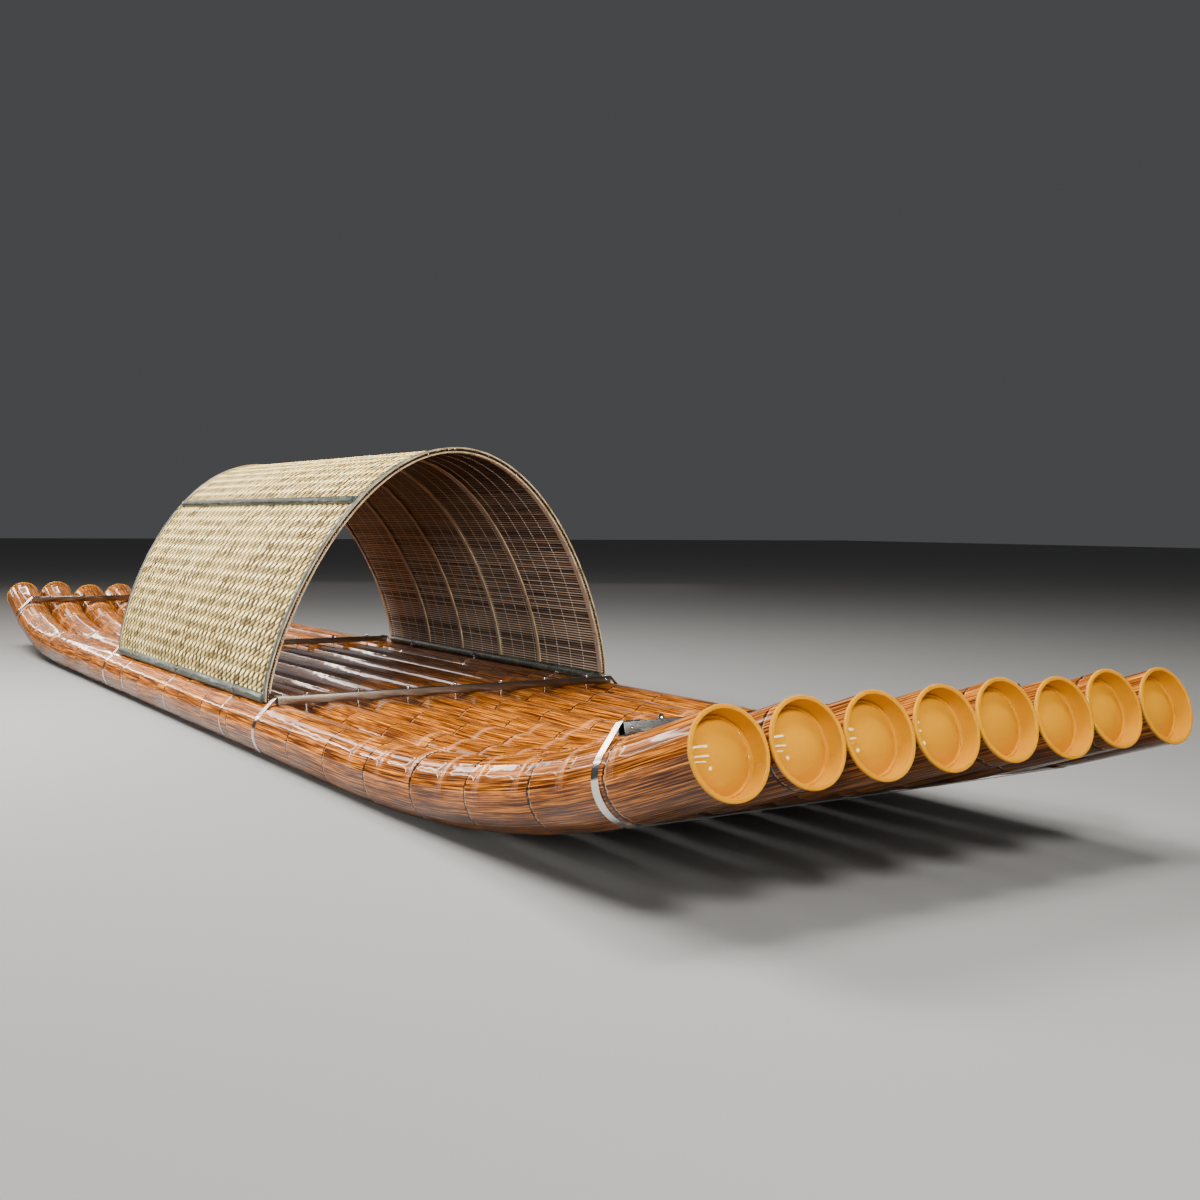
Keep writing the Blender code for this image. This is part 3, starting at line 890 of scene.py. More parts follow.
# Profiles of turned pieces, as radius and place along the axis
CAP_PROFILE = dome_profile() + [
    (0.0825, -0.0447), (0.0834, -0.0428), (0.0848, -0.0416), (0.0862, -0.0416), (0.0876, -0.0428),
    (0.0886, -0.0440), (0.0905, -0.0440), (0.0912, -0.0430), (0.0926, -0.0030), (0.0929, -0.0012),
    (0.0936, 0.0000), (0.0944, 0.0004), (0.0971, 0.0005), (0.0975, 0.0000), (0.0981, 0.0000),
    (0.0985, 0.0005), (0.1010, 0.0005), (0.1022, 0.0001), (0.1029, -0.0010), (0.1031, -0.0026),
    (0.1031, -0.0052), (0.1024, -0.0059), (0.0947, -0.0059), (0.0947, -0.0600),
]
BOLT_PROFILE = [
    (0.0000, 0.0125), (0.0030, 0.0121), (0.0055, 0.0107), (0.0070, 0.0083), (0.0074, 0.0060),
    (0.0074, 0.0014), (0.0112, 0.0014), (0.0116, 0.0009), (0.0116, 0.0002), (0.0040, 0.0001),
    (0.0040, -0.0540), (0.0078, -0.0541), (0.0078, -0.0605), (0.0125, -0.0606), (0.0125, -0.0622),
    (0.0040, -0.0623), (0.0040, -0.0700),
]
SCREW_PROFILE = [(0.0000, 0.0030), (0.0024, 0.0026), (0.0040, 0.0015), (0.0046, 0.0002), (0.0046, -0.0006)]
BEAD_PROFILE = [
    (0.0, 0.0060), (0.0035, 0.0050), (0.0056, 0.0026), (0.0062, 0.0), (0.0056, -0.0026), (0.0035, -0.0048),
]


def turned(profile, steps):
    """Closed solid turned about the X axis from radii and places along it, starting on the axis."""
    deselect()
    bpy.ops.mesh.primitive_plane_add(size=1.0)
    solid = bpy.context.object
    edit()
    bpy.ops.mesh.merge(type="CENTER")
    bpy.ops.transform.translate(value=(profile[0][1], 0.0, profile[0][0]))
    for previous, point in zip(profile[:-1], profile[1:]):
        step = (point[1] - previous[1], 0.0, point[0] - previous[0])
        bpy.ops.mesh.extrude_region_move(TRANSFORM_OT_translate={"value": step})
    bpy.ops.mesh.select_all(action="SELECT")
    bpy.ops.mesh.spin(steps=steps, angle=2.0 * math.pi, center=(0.0, 0.0, 0.0), axis=(1.0, 0.0, 0.0))
    bpy.ops.mesh.select_all(action="SELECT")
    bpy.ops.mesh.remove_doubles(threshold=0.00003)
    bpy.ops.mesh.select_all(action="DESELECT")
    bpy.ops.mesh.select_mode(type="EDGE")
    bpy.ops.mesh.select_non_manifold()
    bpy.ops.mesh.edge_face_add()
    leave_edit()
    return solid


def build_caps(amber):
    """A cap in each end of each pipe, copied from one."""
    pattern = turned(CAP_PROFILE, CAP_SIDES)
    for index in range(PIPE_COUNT):
        stations = pipe_line(index)[0]
        for label, station, facing in (("bow", stations[-1], 1.0), ("stern", stations[0], -1.0)):
            cap = pattern.copy()
            cap.data = pattern.data.copy()
            bpy.context.collection.objects.link(cap)
            ends = [[station, 0.0, 0.0], [station + 0.01 * facing, 0.0, 0.0]]
            tip, ahead = along_pipe(index, np.array(ends))
            out = (ahead - tip) / np.linalg.norm(ahead - tip)
            up = np.cross(out, [0.0, -facing, 0.0])
            turn = np.stack([out, np.cross(up, out), up])
            carry(cap, lambda points: points @ turn + tip)
            finish_piece(cap, f"{label}_plug_{index + 1}", [amber], [f"{label}_cap_{index + 1}"], 40.0)
    bpy.data.objects.remove(pattern, do_unlink=True)


# Girths


def convex_hull(points):
    """Corners of the tight outline round a set of points, anticlockwise."""
    ordered = sorted(set(points))
    outline = []
    for row in (ordered, ordered[::-1]):
        side = []
        for point in row:
            while len(side) > 1:
                (ax, ay), (bx, by) = side[-2:]
                if (bx - ax) * (point[1] - ay) - (by - ay) * (point[0] - ax) > 1e-9:
                    break
                side.pop()
            side.append(point)
        outline += side[:-1]
    return outline


def band_path(letter):
    """Path of a band's inner face, from one end of the bar's top round the pipes to the other."""
    gap = seat_gap(letter)
    top = bar_top(letter) + gap
    reach = PIPE_RADIUS + gap
    points = [(-BAR_HALF_LENGTH, top), (BAR_HALF_LENGTH, top)]
    for index, rise in enumerate(seat_frame(letter)[2]):
        for step in range(BAND_SIDES):
            angle = 2.0 * math.pi * step / BAND_SIDES
            y = pipe_y(index) + reach * math.cos(angle)
            points.append((round(y, 6), round(rise + reach * math.sin(angle), 6)))
    hull = convex_hull(points)
    start = hull.index(points[0])
    lap = BAR_HALF_LENGTH - BAND_LAP
    return np.array([(-lap, top)] + hull[start:] + hull[:start] + [(lap, top)])


def soften(piece, width, angle):
    """Round a piece's edges that are sharper than an angle."""
    apply_modifier(piece, "BEVEL", width=width, segments=2, limit_method="ANGLE",
                   angle_limit=math.radians(angle))


def flat_strip(width, thickness, steps):
    """Flat strip from 0 to 1 along X, with its lower face at Z 0, cut across into equal steps."""
    deselect()
    bpy.ops.mesh.primitive_grid_add(x_subdivisions=steps, y_subdivisions=1, size=1.0,
                                    location=(0.5, 0.0, 0.0))
    strip = bpy.context.object
    strip.scale.y = width
    settle(strip)
    apply_modifier(strip, "SOLIDIFY", thickness=thickness, offset=1.0)
    return strip


def build_band(letter, steel):
    """Flat steel band round the bundle."""
    path = band_path(letter)
    cuts = len(path) - 1
    band = flat_strip(BAND_WIDTH, BAND_THICKNESS, cuts)
    x, y, z = positions(band).T
    along = path_lengths(path)[np.rint(x * cuts).astype(int)]
    carry(band, lambda _: in_seat(letter, follow(path, columns(along, y, -z))))
    finish_piece(band, f"girth_band_{letter}", [steel], [f"band_{letter}"])


def build_crossbar(letter, steel):
    """Square tube with rounded edges, hollow at both ends."""
    deselect()
    bpy.ops.mesh.primitive_cube_add(size=1.0)
    bar = bpy.context.object
    bar.scale = (BAR_SIZE, 2.0 * BAR_HALF_LENGTH, BAR_SIZE)
    settle(bar)
    pick(bar, "FACE", lambda face: abs(face.normal.y) > 0.9)
    bpy.ops.mesh.inset(thickness=BAR_WALL, use_individual=True)
    bpy.ops.mesh.bridge_edge_loops()
    leave_edit()
    soften(bar, 0.0015, 40.0)
    middle = bar_top(letter) - BAR_SIZE / 2.0
    carry(bar, lambda points: in_seat(letter, points + np.array([0.0, 0.0, middle])))
    finish_piece(bar, f"square_bar_{letter}", [steel], [f"crossbar_{letter}"])


def build_tie(label, index, station, steel):
    """Thin tie round an outer pipe."""
    tie = flat_strip(TIE_WIDTH, TIE_THICKNESS, 64)
    x, y, z = positions(tie).T
    angle = 2.0 * math.pi * x + math.pi / 2.0
    radius = PIPE_RADIUS + SEAT_GAP + z
    carry(tie, lambda _: columns(DATUM_X + station + y, pipe_y(index) + radius * np.cos(angle),
                                 PIPE_Z + radius * np.sin(angle)))
    finish_piece(tie, f"steel_{label}", [steel], [label])


def build_bolts(letter, steel):
    """Bolts with domed heads down through a crossbar, with a nut below it in each valley."""
    bolts = turned(BOLT_PROFILE, 16)
    repeat(bolts, PIPE_COUNT - 1, (0.0, PIPE_PITCH, 0.0))
    first = -(PIPE_COUNT - 2) / 2.0 * PIPE_PITCH
    x, y, z = positions(bolts).T
    carry(bolts, lambda _: in_seat(letter, columns(-z, y + first, x + bar_top(letter))))
    finish_piece(bolts, f"bar_bolts_{letter}", [steel])


def build_screws(letter, steel):
    """Small domed screws near a crossbar's ends, on both its faces and through the band's laps."""
    top = bar_top(letter)
    half = BAR_SIZE / 2.0
    screws = []
    for side in (-SCREW_PLACE, SCREW_PLACE):
        for out, place in (
            ((1.0, 0.0, 0.0), (half, side, top - half)),
            ((-1.0, 0.0, 0.0), (-half, side, top - half)),
            ((0.0, 0.0, 1.0), (0.0, side, top + BAND_THICKNESS + SEAT_GAP)),
        ):
            screw = turned(SCREW_PROFILE, 14)
            turn = np.array(Vector((1.0, 0.0, 0.0)).rotation_difference(Vector(out)).to_matrix())
            carry(screw, lambda points: in_seat(letter, points @ turn.T + np.array(place)))
            screws.append(screw)
    finish_piece(joined(screws), f"end_screws_{letter}", [steel])


def wire(path, radius=WIRE_RADIUS, closed=False):
    """Round wire along a path of points, open or as a loop."""
    line = np.vstack([path, path[:1]]) if closed else path
    tube, order = ringed_tube(len(line), WIRE_SIDES, radius)
    ahead = np.gradient(line, axis=0)
    if closed:
        ahead[0] = line[1] - line[-2]
        ahead[-1] = ahead[0]
    ahead /= np.linalg.norm(ahead, axis=1)[:, None]
    side = np.cross(ahead[0], ahead[1] + np.array([0.31, 0.17, 0.53]))
    sides = []
    for direction in ahead:
        side = side - direction * np.dot(side, direction)
        side /= np.linalg.norm(side)
        sides.append(side)
    sides = np.array(sides)
    if closed:
        sides[-1] = sides[0]
    other = np.cross(ahead, sides)
    carry(tube, lambda points: line[order] + sides[order] * points[:, 1:2] + other[order] * points[:, 2:3])
    activate(tube)
    edit()
    if closed:
        bpy.ops.mesh.remove_doubles(threshold=0.00002)
    else:
        bpy.ops.mesh.fill_holes(sides=0)
    leave_edit()
    return tube


def rounded_loop(half_width, half_height, squareness):
    """A flat loop between an oval and a rectangle, as two columns."""
    angle = np.linspace(0.0, 2.0 * math.pi, LOOP_POINTS, endpoint=False)
    across, up = (np.sign(part) * np.abs(part) ** squareness for part in (np.cos(angle), np.sin(angle)))
    return across * half_width, up * half_height


def twisted_tail(start, direction, length, turns=3):
    """Two wire ends twisted together, from a start along a direction."""
    direction = direction / np.linalg.norm(direction)
    side = np.cross(direction, [0.2, 0.3, 0.9])
    side /= np.linalg.norm(side)
    other = np.cross(direction, side)
    share = np.linspace(0.0, 1.0, 10 * turns + 1)[:, None]
    reach = WIRE_RADIUS * (1.0 + 1.6 * np.clip(share * 4.0 - 3.0, 0.0, 1.0))
    ends = []
    for phase in (0.0, math.pi):
        angle = share * turns * 2.0 * math.pi + phase
        ends.append(wire(start + share * length * direction + reach * np.cos(angle) * side
                         + reach * np.sin(angle) * other))
    return ends


def build_edge_bindings(label, middle, distances, steel):
    """Wire loops round a hoop, the mat's edge, the blind and the rib behind it."""
    outer = HOOP_THICKNESS + SEAT_GAP
    inner = RIB_FACE - RIB_THICKNESS
    across, off = rounded_loop(HOOP_WIDTH / 2.0 + 0.0022, (outer - inner) / 2.0 + 0.0014, 0.5)
    loops = [wire(over_arch(columns(middle + across, distance, (outer + inner) / 2.0 + off)), 0.0010, True)
             for distance in distances]
    finish_piece(joined(loops), f"edge_bindings_{label}", [steel])


def build_rail_bindings(side_name, side, steel, dull):
    """Wire round both rails at each tie, with a bright screw on each rail and twisted ends."""
    corners = [corner for kind in ("outer", "inner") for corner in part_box(f"{kind}_rail_{side_name}")]
    inner_y, outer_y = (end(abs(corner.y) for corner in corners) for end in (min, max))
    bottom, top = (end(corner.z for corner in corners) for end in (min, max))
    middle_y = side * (outer_y + inner_y) / 2.0
    middle_z = (top + bottom) / 2.0
    across, up = rounded_loop((outer_y - inner_y) / 2.0 + 0.0013, (top - bottom) / 2.0 + 0.0010, 0.75)
    lean = 0.004 * np.sin(np.linspace(0.0, 6.0, len(across)))
    out, tail_y = (-1.0, inner_y) if side > 0.0 else (1.0, outer_y)
    pieces = []
    loops = []
    for number, station in enumerate(TIE_STATIONS):
        x = DATUM_X + station
        for shift in (-0.0060, 0.0, 0.0045):
            loops.append(wire(columns(x + shift + lean, middle_y + across, middle_z + up), 0.0009, True))
        for face, way, lift, size in ((outer_y, 1.0, 0.0125, 1.0), (inner_y, -1.0, -0.010, INNER_BEAD)):
            bead = turned(BEAD_PROFILE, 14)
            centre = np.array([x + 0.010 * way, side * (face - way * 0.004), middle_z + lift])
            carry(bead, lambda points: points[:, [1, 2, 0]] * size + centre)
            pieces.append(bead)
        start = np.array([x + 0.006, side * (tail_y + out * 0.002), middle_z + 0.004])
        length = 0.050 if side > 0.0 and number == 1 else 0.022
        pieces += twisted_tail(start, np.array([0.8, side * out * 0.75, 0.25]), length)
    finish_piece(joined(pieces), f"rail_knots_{side_name}", [steel])
    finish_piece(joined(loops), f"rail_bindings_{side_name}", [dull])


# Canopy


def build_weave(name, slanting, straw, dice):
    """The mat's strips of one direction: olive ones slanting up the arch, or upright pale ones."""
    uprights = int(CANOPY_LENGTH / WEAVE_SPACING) + 2
    rows = int(ARCH_LENGTH / WEAVE_STEP) + 2
    count, crossings, cover, width, step = (
        (rows + uprights, uprights, SLANTING_COVER, WEAVE_STEP, math.hypot(WEAVE_SPACING, WEAVE_STEP))
        if slanting else (uprights, rows, UPRIGHT_COVER, WEAVE_SPACING, WEAVE_STEP)
    )
    deselect()
    bpy.ops.mesh.primitive_grid_add(x_subdivisions=FLOAT_CUTS * crossings, y_subdivisions=2, size=1.0,
                                    location=(0.5, 0.5, 0.0))
    cloth = bpy.context.object
    settle(cloth)
    repeat(cloth, count, (0.0, 2.0, 0.0))
    x, y, _ = positions(cloth).T
    strip = np.floor(y / 2.0 + 1e-4).astype(int)
    across = y - 2.0 * strip - 0.5
    along = np.rint(x * FLOAT_CUTS * crossings) / FLOAT_CUTS
    row = along + strip - uprights if slanting else along
    turn = row if slanting else row + 1.0
    number = np.floor((turn + 1.0) / 2.0).astype(int) + uprights
    table = np.random.default_rng(dice.randrange(1000)).random((3, count, rows + 2 * uprights))
    shade = 0.45 * table[0, strip, 0] + 0.55 * table[1, strip, number]
    breadth = across * (cover * (1.0 - 0.62 * table[2, strip, number] ** 4))
    level = 0.5 + 0.5 * np.cos(math.pi * turn)
    height = WEAVE_TOP - WEAVE_RISE * (1.0 - level) - WEAVE_CROWN * (2.0 * across) ** 2
    store_vector(cloth, "float", columns(2.0 * np.abs((turn + 1.0) % 2.0 - 1.0), 2.0 * across, 0.0))
    store_vector(cloth, "strip", columns(shade, along * step, strip * 0.07 + across * width))
    flat_x = CANOPY_STERN + (along if slanting else strip + breadth) * WEAVE_SPACING
    carry(cloth, lambda _: columns(flat_x, (row + breadth) * WEAVE_STEP, height))
    activate(cloth)
    edit()
    for place, facing in (
        ((CANOPY_STERN + EDGE_TRIM, 0.0, 0.0), (-1.0, 0.0, 0.0)),
        ((CANOPY_BOW - EDGE_TRIM, 0.0, 0.0), (1.0, 0.0, 0.0)),
        ((0.0, EDGE_TRIM, 0.0), (0.0, -1.0, 0.0)),
        ((0.0, ARCH_LENGTH - EDGE_TRIM, 0.0), (0.0, 1.0, 0.0)),
    ):
        bpy.ops.mesh.select_all(action="SELECT")
        bpy.ops.mesh.bisect(plane_co=place, plane_no=facing, clear_outer=True)
    if not slanting:
        bpy.ops.mesh.select_all(action="SELECT")
        bpy.ops.mesh.flip_normals()
    leave_edit()
    carry(cloth, over_arch)
    bpy.ops.object.shade_smooth()
    tie_to_frame(cloth, name, [straw], ["canopy_mat"])


def build_shadow_sheet(shadow):
    """Thin dark sheet behind the weave as painted shade, seen through its slits and along the mat's edges.
    """
    sheet = flat_strip(CANOPY_LENGTH, MAT_THICKNESS * 0.3, 140)
    x, y, z = positions(sheet).T
    middle = CANOPY_STERN + CANOPY_LENGTH / 2.0
    carry(sheet, lambda _: over_arch(columns(middle + y, x * ARCH_LENGTH, -MAT_THICKNESS + z)))
    finish_piece(sheet, "weave_shadow_sheet", [shadow], ["canopy_mat"])


def build_blind(slat_finish, thread_finish, dice):
    """Slat blind inside the mat, with its threads."""
    count = int(ARCH_LENGTH / SLAT_PITCH)
    slats = flat_strip(SLAT_WIDTH, SLAT_THICKNESS, 5)
    repeat(slats, count, (0.0, SLAT_PITCH, 0.0))
    x, y, z = positions(slats).T
    strip = np.floor(y / SLAT_PITCH + 0.5).astype(int)
    shade = np.array([dice.random() for _ in range(count + 1)])[strip]
    flat = columns(CANOPY_STERN + 0.002 + x * (CANOPY_LENGTH - 0.004), y + SLAT_PITCH / 2.0,
                   BLIND_FACE - 0.0010 - z)
    carry(slats, lambda _: over_arch(flat))
    store_vector(slats, "strip", columns(shade, flat[:, 0] + 7.0 * shade, flat[:, 1]))
    finish_piece(slats, "blind_slats", [slat_finish], ["canopy_liner"])

    threads = flat_strip(THREAD_WIDTH, THREAD_THICKNESS, count)
    repeat(threads, int(CANOPY_LENGTH / THREAD_PITCH), (0.0, 1.0, 0.0))
    x, y, z = positions(threads).T
    strip = np.floor(y + 0.5).astype(int)
    flat = columns(CANOPY_STERN + 0.05 + strip * THREAD_PITCH + (y - strip), x * ARCH_LENGTH,
                   BLIND_FACE - 0.0034 - z)
    carry(threads, lambda _: over_arch(flat))
    store_vector(threads, "strip", columns(strip * 0.1, flat[:, 1], flat[:, 0]))
    finish_piece(threads, "blind_threads", [thread_finish])


def build_lath(name, node, station, width, thickness, face, finishes, shade, foot=0.0, way=1.0):
    """Lath or split pole bent over the arch: its flat is on the given face, and it grows one way from it."""
    start = arch_distance(foot, -1.0) if foot > ARCH[0, 1] else 0.0
    lath = flat_strip(width, thickness, 120)
    soften(lath, thickness * 0.12, 60.0)
    paint(lath, finishes, lambda polygon: abs(polygon.normal.y) > 0.9)
    x, y, z = positions(lath).T
    flat = columns(station + y, start + x * (ARCH_LENGTH - 2.0 * start), face + way * z)
    store_vector(lath, "strip", columns(shade, flat[:, 1], flat[:, 0]))
    carry(lath, lambda _: over_arch(flat))
    finish_piece(lath, name, [], [node])


def half_round_pole(length, radius, nodes):
    """Split pole along X from 0, flat side down, swelling a little at its nodes."""
    rings = 8 * len(nodes) + 18
    pole = lying_cylinder(24, radius, length)
    edit()
    bpy.ops.mesh.bisect(plane_co=(0.0, 0.0, 0.0), plane_no=(0.0, 0.0, 1.0), use_fill=True, clear_inner=True)
    leave_edit()
    ends = positions(pole)[:, 0]
    pick(pole, "EDGE", lambda edge: abs(ends[edge.vertices[0]] - ends[edge.vertices[1]]) > length / 2.0)
    bpy.ops.mesh.subdivide(number_cuts=rings)
    leave_edit()
    x, y, z = positions(pole).T
    marks = [0.0, length]
    for inset in (0.0012, 0.0040, 0.0090):
        marks += [inset, length - inset]
    for node in nodes:
        marks += [node + side * off for off in (0.001, 0.0035, 0.007, 0.012) for side in (-1.0, 1.0)]
    spare = rings + 2 - len(marks)
    marks += [length * (number + 0.5) / spare for number in range(spare)]
    x = np.sort(marks)[np.rint(x / length * (rings + 1)).astype(int)]
    swell = np.ones_like(x)
    for node in nodes:
        swell += 0.055 * bell(x - node, 0.006) - 0.05 * bell(x - node, 0.0018)
    near_end = np.clip(np.minimum(x, length - x) / 0.0090, 0.0, 1.0)
    swell *= 0.60 + 0.40 * np.sqrt(1.0 - (1.0 - near_end) ** 2)
    carry(pole, lambda _: columns(x, y * swell, z * swell))
    return pole


def build_pole(node, radius, bamboo, dice, route):
    """A split pole with nodes at uneven spacings, laid by a function of its points."""
    nodes = []
    place = dice.uniform(0.08, 0.3)
    while place < POLE_LENGTH - 0.03:
        nodes.append(place)
        place += dice.uniform(0.30, 0.38)
    pole = half_round_pole(POLE_LENGTH, radius, nodes)
    x, y, z = positions(pole).T
    store_vector(pole, "strip", columns(dice.random(), x, np.arctan2(z, y) * radius))
    carry(pole, lambda _: route(x, y, z))
    finish_piece(pole, f"split_{node}", [bamboo], [node])


def build_poles(bamboo, shaded, dice):
    """Rails along the mat's feet and purlins along its haunches."""
    for side_name, side in SIDES.items():
        for kind, nearest, outward in (("outer", min, side), ("inner", max, -side)):
            node = f"{kind}_rail_{side_name}"
            low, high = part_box(node)
            flat_y = nearest(low.y, high.y, key=abs)
            build_pole(node, (high.z - low.z) / 2.0, bamboo, dice, lambda x, y, z: columns(
                DATUM_X + POLE_START + x, flat_y + outward * z, (low.z + high.z) / 2.0 + y))
        height = ARCH_SPRING_HEIGHT + ARCH_RISE * math.sin(math.radians(PURLIN_ANGLE)) ** ARCH_POWER
        distance = arch_distance(height, side)

        def lift(x, y, z):
            centre, out = (over_arch(columns(POLE_START + x, distance, off)) for off in (0.0, 1.0))
            out -= centre
            out[:, 0] = 0.0
            out /= np.linalg.norm(out, axis=1)[:, None]
            along = columns(0.0, out[:, 2], -out[:, 1])
            return centre + out * (z[:, None] + SEAT_GAP) + along * y[:, None]

        build_pole(f"purlin_{side_name}", PURLIN_RADIUS, shaded, dice, lift)


# Stage


def add_light(name, place, target, size, power, color, mirrored, spread=180.0):
    """A lit panel that is seen only in reflections, or that lights only rough faces."""
    data = bpy.data.lights.new(name, "AREA")
    data.shape = "RECTANGLE"
    data.size, data.size_y = size
    data.energy = power
    data.color = color
    data.spread = math.radians(spread)
    light = bpy.data.objects.new(name, data)
    bpy.context.collection.objects.link(light)
    light.location = place
    light.rotation_euler = (Vector(target) - Vector(place)).to_track_quat("-Z", "Y").to_euler()
    light.visible_camera = False
    light.visible_glossy = mirrored
    light.visible_diffuse = not mirrored


def build_stage():
    """Pale floor, soft lights and dim surroundings."""
    deselect()
    bpy.ops.mesh.primitive_plane_add(size=120.0, location=(0.0, 0.0, -0.0005))
    floor = bpy.context.object
    floor.name = "studio_floor"
    floor.data.materials.append(Recipe("pale_floor").done((0.25, 0.247, 0.24, 1.0), 0.7, specular=0.2))

    world = bpy.data.worlds.new("soft_room")
    world.use_nodes = True
    bpy.context.scene.world = world
    background = world.node_tree.nodes["Background"]
    background.inputs["Color"].default_value = (0.86, 0.87, 0.90, 1.0)
    background.inputs["Strength"].default_value = 0.08

    for name, place, target, size, power, spread in (
        ("overhead", (-1.0, -2.2, 5.6), (-0.5, -0.2, 0.8), (2.6, 2.0), 800.0, 180.0),
        ("mat_soft", (-0.3, -2.65, 3.3), (0.0, -0.5, 0.8), (2.4, 0.8), 310.0, 180.0),
        ("bow_top", (3.4, -0.3, 4.2), (3.2, -0.1, 0.4), (1.6, 1.6), 21.0, 60.0),
        ("bow_key", (5.0, 1.2, 8.5), (3.0, 0.0, 0.5), (2.0, 1.6), 430.0, 180.0),
        ("cap_key", (6.4, -1.2, 2.8), (3.8, -0.1, 0.6), (0.7, 0.7), 180.0, 180.0),
        ("bow_fill", (8.0, -6.6, 1.9), (1.0, 0.5, 0.5), (3.0, 1.6), 250.0, 180.0),
        ("bow_side", (3.0, -6.5, 2.2), (3.0, -0.8, 0.4), (2.0, 1.0), 95.0, 180.0),
        ("starboard_soft", (0.0, -7.0, 2.6), (0.0, 0.0, 0.4), (4.0, 1.2), 130.0, 180.0),
    ):
        add_light(name, place, target, size, power, WARM, False, spread)
    for name, place, target, size, power, color in (
        ("stern_skylight", (-13.0, -1.2, 6.5), (1.0, -0.3, 0.2), (1.4, 1.6), 62.0, (1.0, 0.84, 0.78)),
        ("stern_window", (-13.0, -1.85, 4.1), WINDOW_TARGET, (5.7, 3.0), 78.0, (1.0, 0.67, 0.53)),
        ("window_port_edge", (-12.9, 0.95, 4.1), WINDOW_TARGET, (0.24, 3.0), 48.0, ROSY),
        ("window_starboard_edge", (-12.9, -4.65, 4.1), WINDOW_TARGET, (0.24, 3.0), 48.0, ROSY),
        ("window_top_edge", (-12.9, -1.85, 5.55), WINDOW_TARGET, (5.7, 0.22), 70.0, ROSY),
        ("window_low_edge", (-12.9, -1.85, 2.65), WINDOW_TARGET, (5.7, 0.22), 70.0, ROSY),
        ("far_wall", (-12.0, 6.5, 1.9), (0.0, 0.0, 0.2), (8.0, 3.4), 30.0, (0.90, 0.78, 0.80)),
        ("bow_strip_1", (8.3, -0.8, 4.5), BOW_TARGET, (2.7, 0.36), 260.0, WARM),
        ("bow_strip_2", (11.6, -1.2, 4.4), BOW_TARGET, (4.2, 0.36), 320.0, WARM),
        ("bow_strip_3", (15.0, -2.2, 4.3), BOW_TARGET, (4.4, 0.36), 360.0, WARM),
        ("bow_window", (14.0, 1.0, 1.7), BOW_TARGET, (0.9, 0.9), 190.0, WARM),
    ):
        add_light(name, place, target, size, power, color, True)


def build_camera():
    """Camera at the photograph's place and angle."""
    yaw, pitch, roll = CAMERA_YAW, CAMERA_PITCH, CAMERA_ROLL
    forward = Vector((math.sin(yaw) * math.cos(pitch), math.cos(yaw) * math.cos(pitch), math.sin(pitch)))
    right = forward.cross(Vector((0.0, 0.0, 1.0))).normalized()
    up = right.cross(forward)
    rolled_right = right * math.cos(roll) + up * math.sin(roll)
    rolled_up = up * math.cos(roll) - right * math.sin(roll)
    place = Vector(CAMERA_PLACE) + Vector((DATUM_X, 0.0, 0.0))
    turn = Matrix((rolled_right, rolled_up, -forward)).transposed().to_4x4()
    data = bpy.data.cameras.new("photo_camera")
    data.sensor_width = SENSOR_WIDTH
    data.lens = FOCAL_PIXELS / IMAGE_PIXELS * SENSOR_WIDTH
    camera = bpy.data.objects.new("photo_camera", data)
    bpy.context.collection.objects.link(camera)
    camera.matrix_world = Matrix.Translation(place) @ turn
    bpy.context.scene.camera = camera


def build_hull(film, amber):
    """The pipes and their caps."""
    dice = random.Random(11)
    for index in range(PIPE_COUNT):
        build_pipe(index, film, amber, dice)
    build_caps(amber)


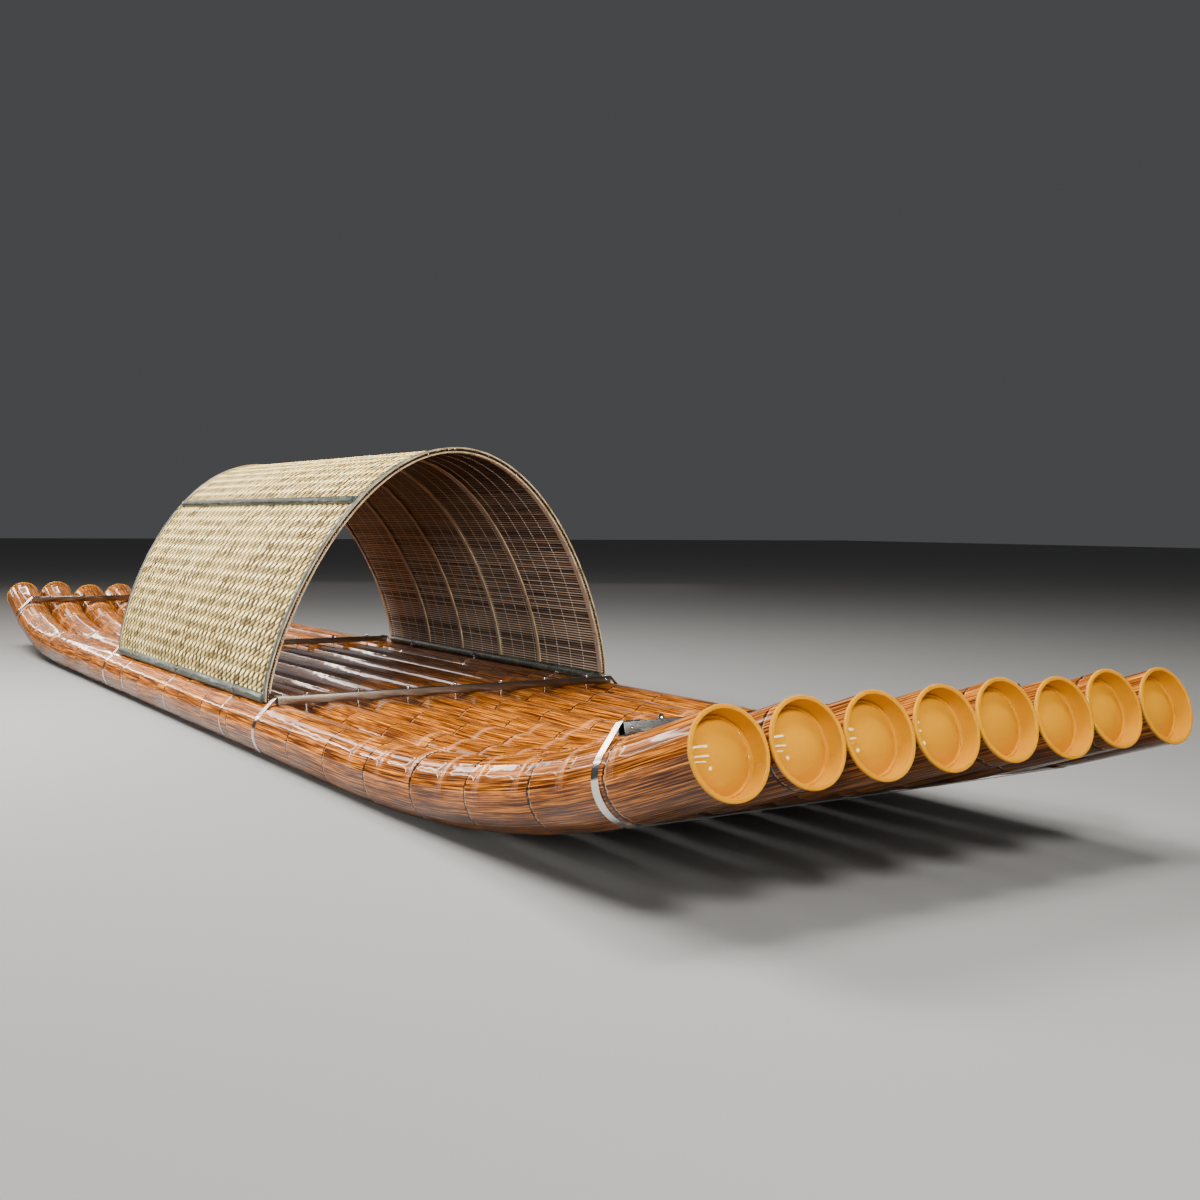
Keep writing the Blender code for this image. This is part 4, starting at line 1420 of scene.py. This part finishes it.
def build_girths(steel, bars, bright, dull):
    """Crossbars, bands, ties and bindings."""
    for letter in STATIONS:
        build_crossbar(letter, bars.get(letter, bars["others"]))
        build_band(letter, steel)
        build_bolts(letter, steel)
        build_screws(letter, steel)
    for side_name, index in (("starboard", 0), ("port", PIPE_COUNT - 1)):
        for number, station in enumerate(TIE_STATIONS, start=1):
            build_tie(f"tie_{side_name}_{number}", index, station, steel)
    for side_name, side in SIDES.items():
        build_rail_bindings(side_name, side, bright, dull)
    for label, distances in (("bow", BOW_BINDINGS), ("stern", STERN_BINDINGS)):
        build_edge_bindings(label, HOOP_STATIONS[label], distances, bright)


def build_canopy():
    """Weave, blind, ribs, hoops and poles."""
    dice = random.Random(23)
    olive = straw_material("olive_straw", OLIVE_STRAW)
    pale = straw_material("pale_straw", PALE_STRAW)
    lath = lath_material()
    cut = cut_material()
    bamboo = bamboo_material("green_bamboo", 1.0)
    build_shadow_sheet(shadow_sheet_material())
    build_weave("mat_strips_slanting", True, olive, dice)
    build_weave("mat_strips_upright", False, pale, dice)
    build_blind(slat_material(), thread_material(), dice)
    for number, (station, width) in enumerate(zip(RIB_STATIONS, RIB_WIDTHS), start=1):
        node = f"rib_{number}"
        build_lath(f"bent_{node}", node, station, width, RIB_THICKNESS, RIB_FACE, (lath, cut),
                   dice.random(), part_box(node)[0].z, -1.0)
    for label, station in HOOP_STATIONS.items():
        build_lath(f"edge_hoop_{label}", f"hoop_{label}", station, HOOP_WIDTH, HOOP_THICKNESS, SEAT_GAP,
                   (bamboo, cut), dice.random())
    # The purlins take a darker copy of the bamboo as painted shade.
    build_poles(bamboo, bamboo_material("bamboo_painted_shade", 0.52), dice)


build_camera()
build_stage()
build_hull(film_material(), cap_material())
build_girths(
    steel_material("polished_stainless", 0.06, 0.14, 0.005),
    {
        # Crossbars: the same steel darkened and warmed as painted shade and a painted reflection of the
        # deck; bar D darker still as painted shade.
        "others": steel_material("stainless_painted_shade_and_deck_reflection", 0.24, 0.12, 0.004, 0.27, 0.28),
        "d": steel_material("stainless_painted_shade", 0.22, 0.12, 0.004, 0.13),
    },
    steel_material("bright_wire", 0.16, 0.18, 0.002),
    steel_material("dull_wire", 0.40, 0.20, 0.001, 0.45),
)
build_canopy()
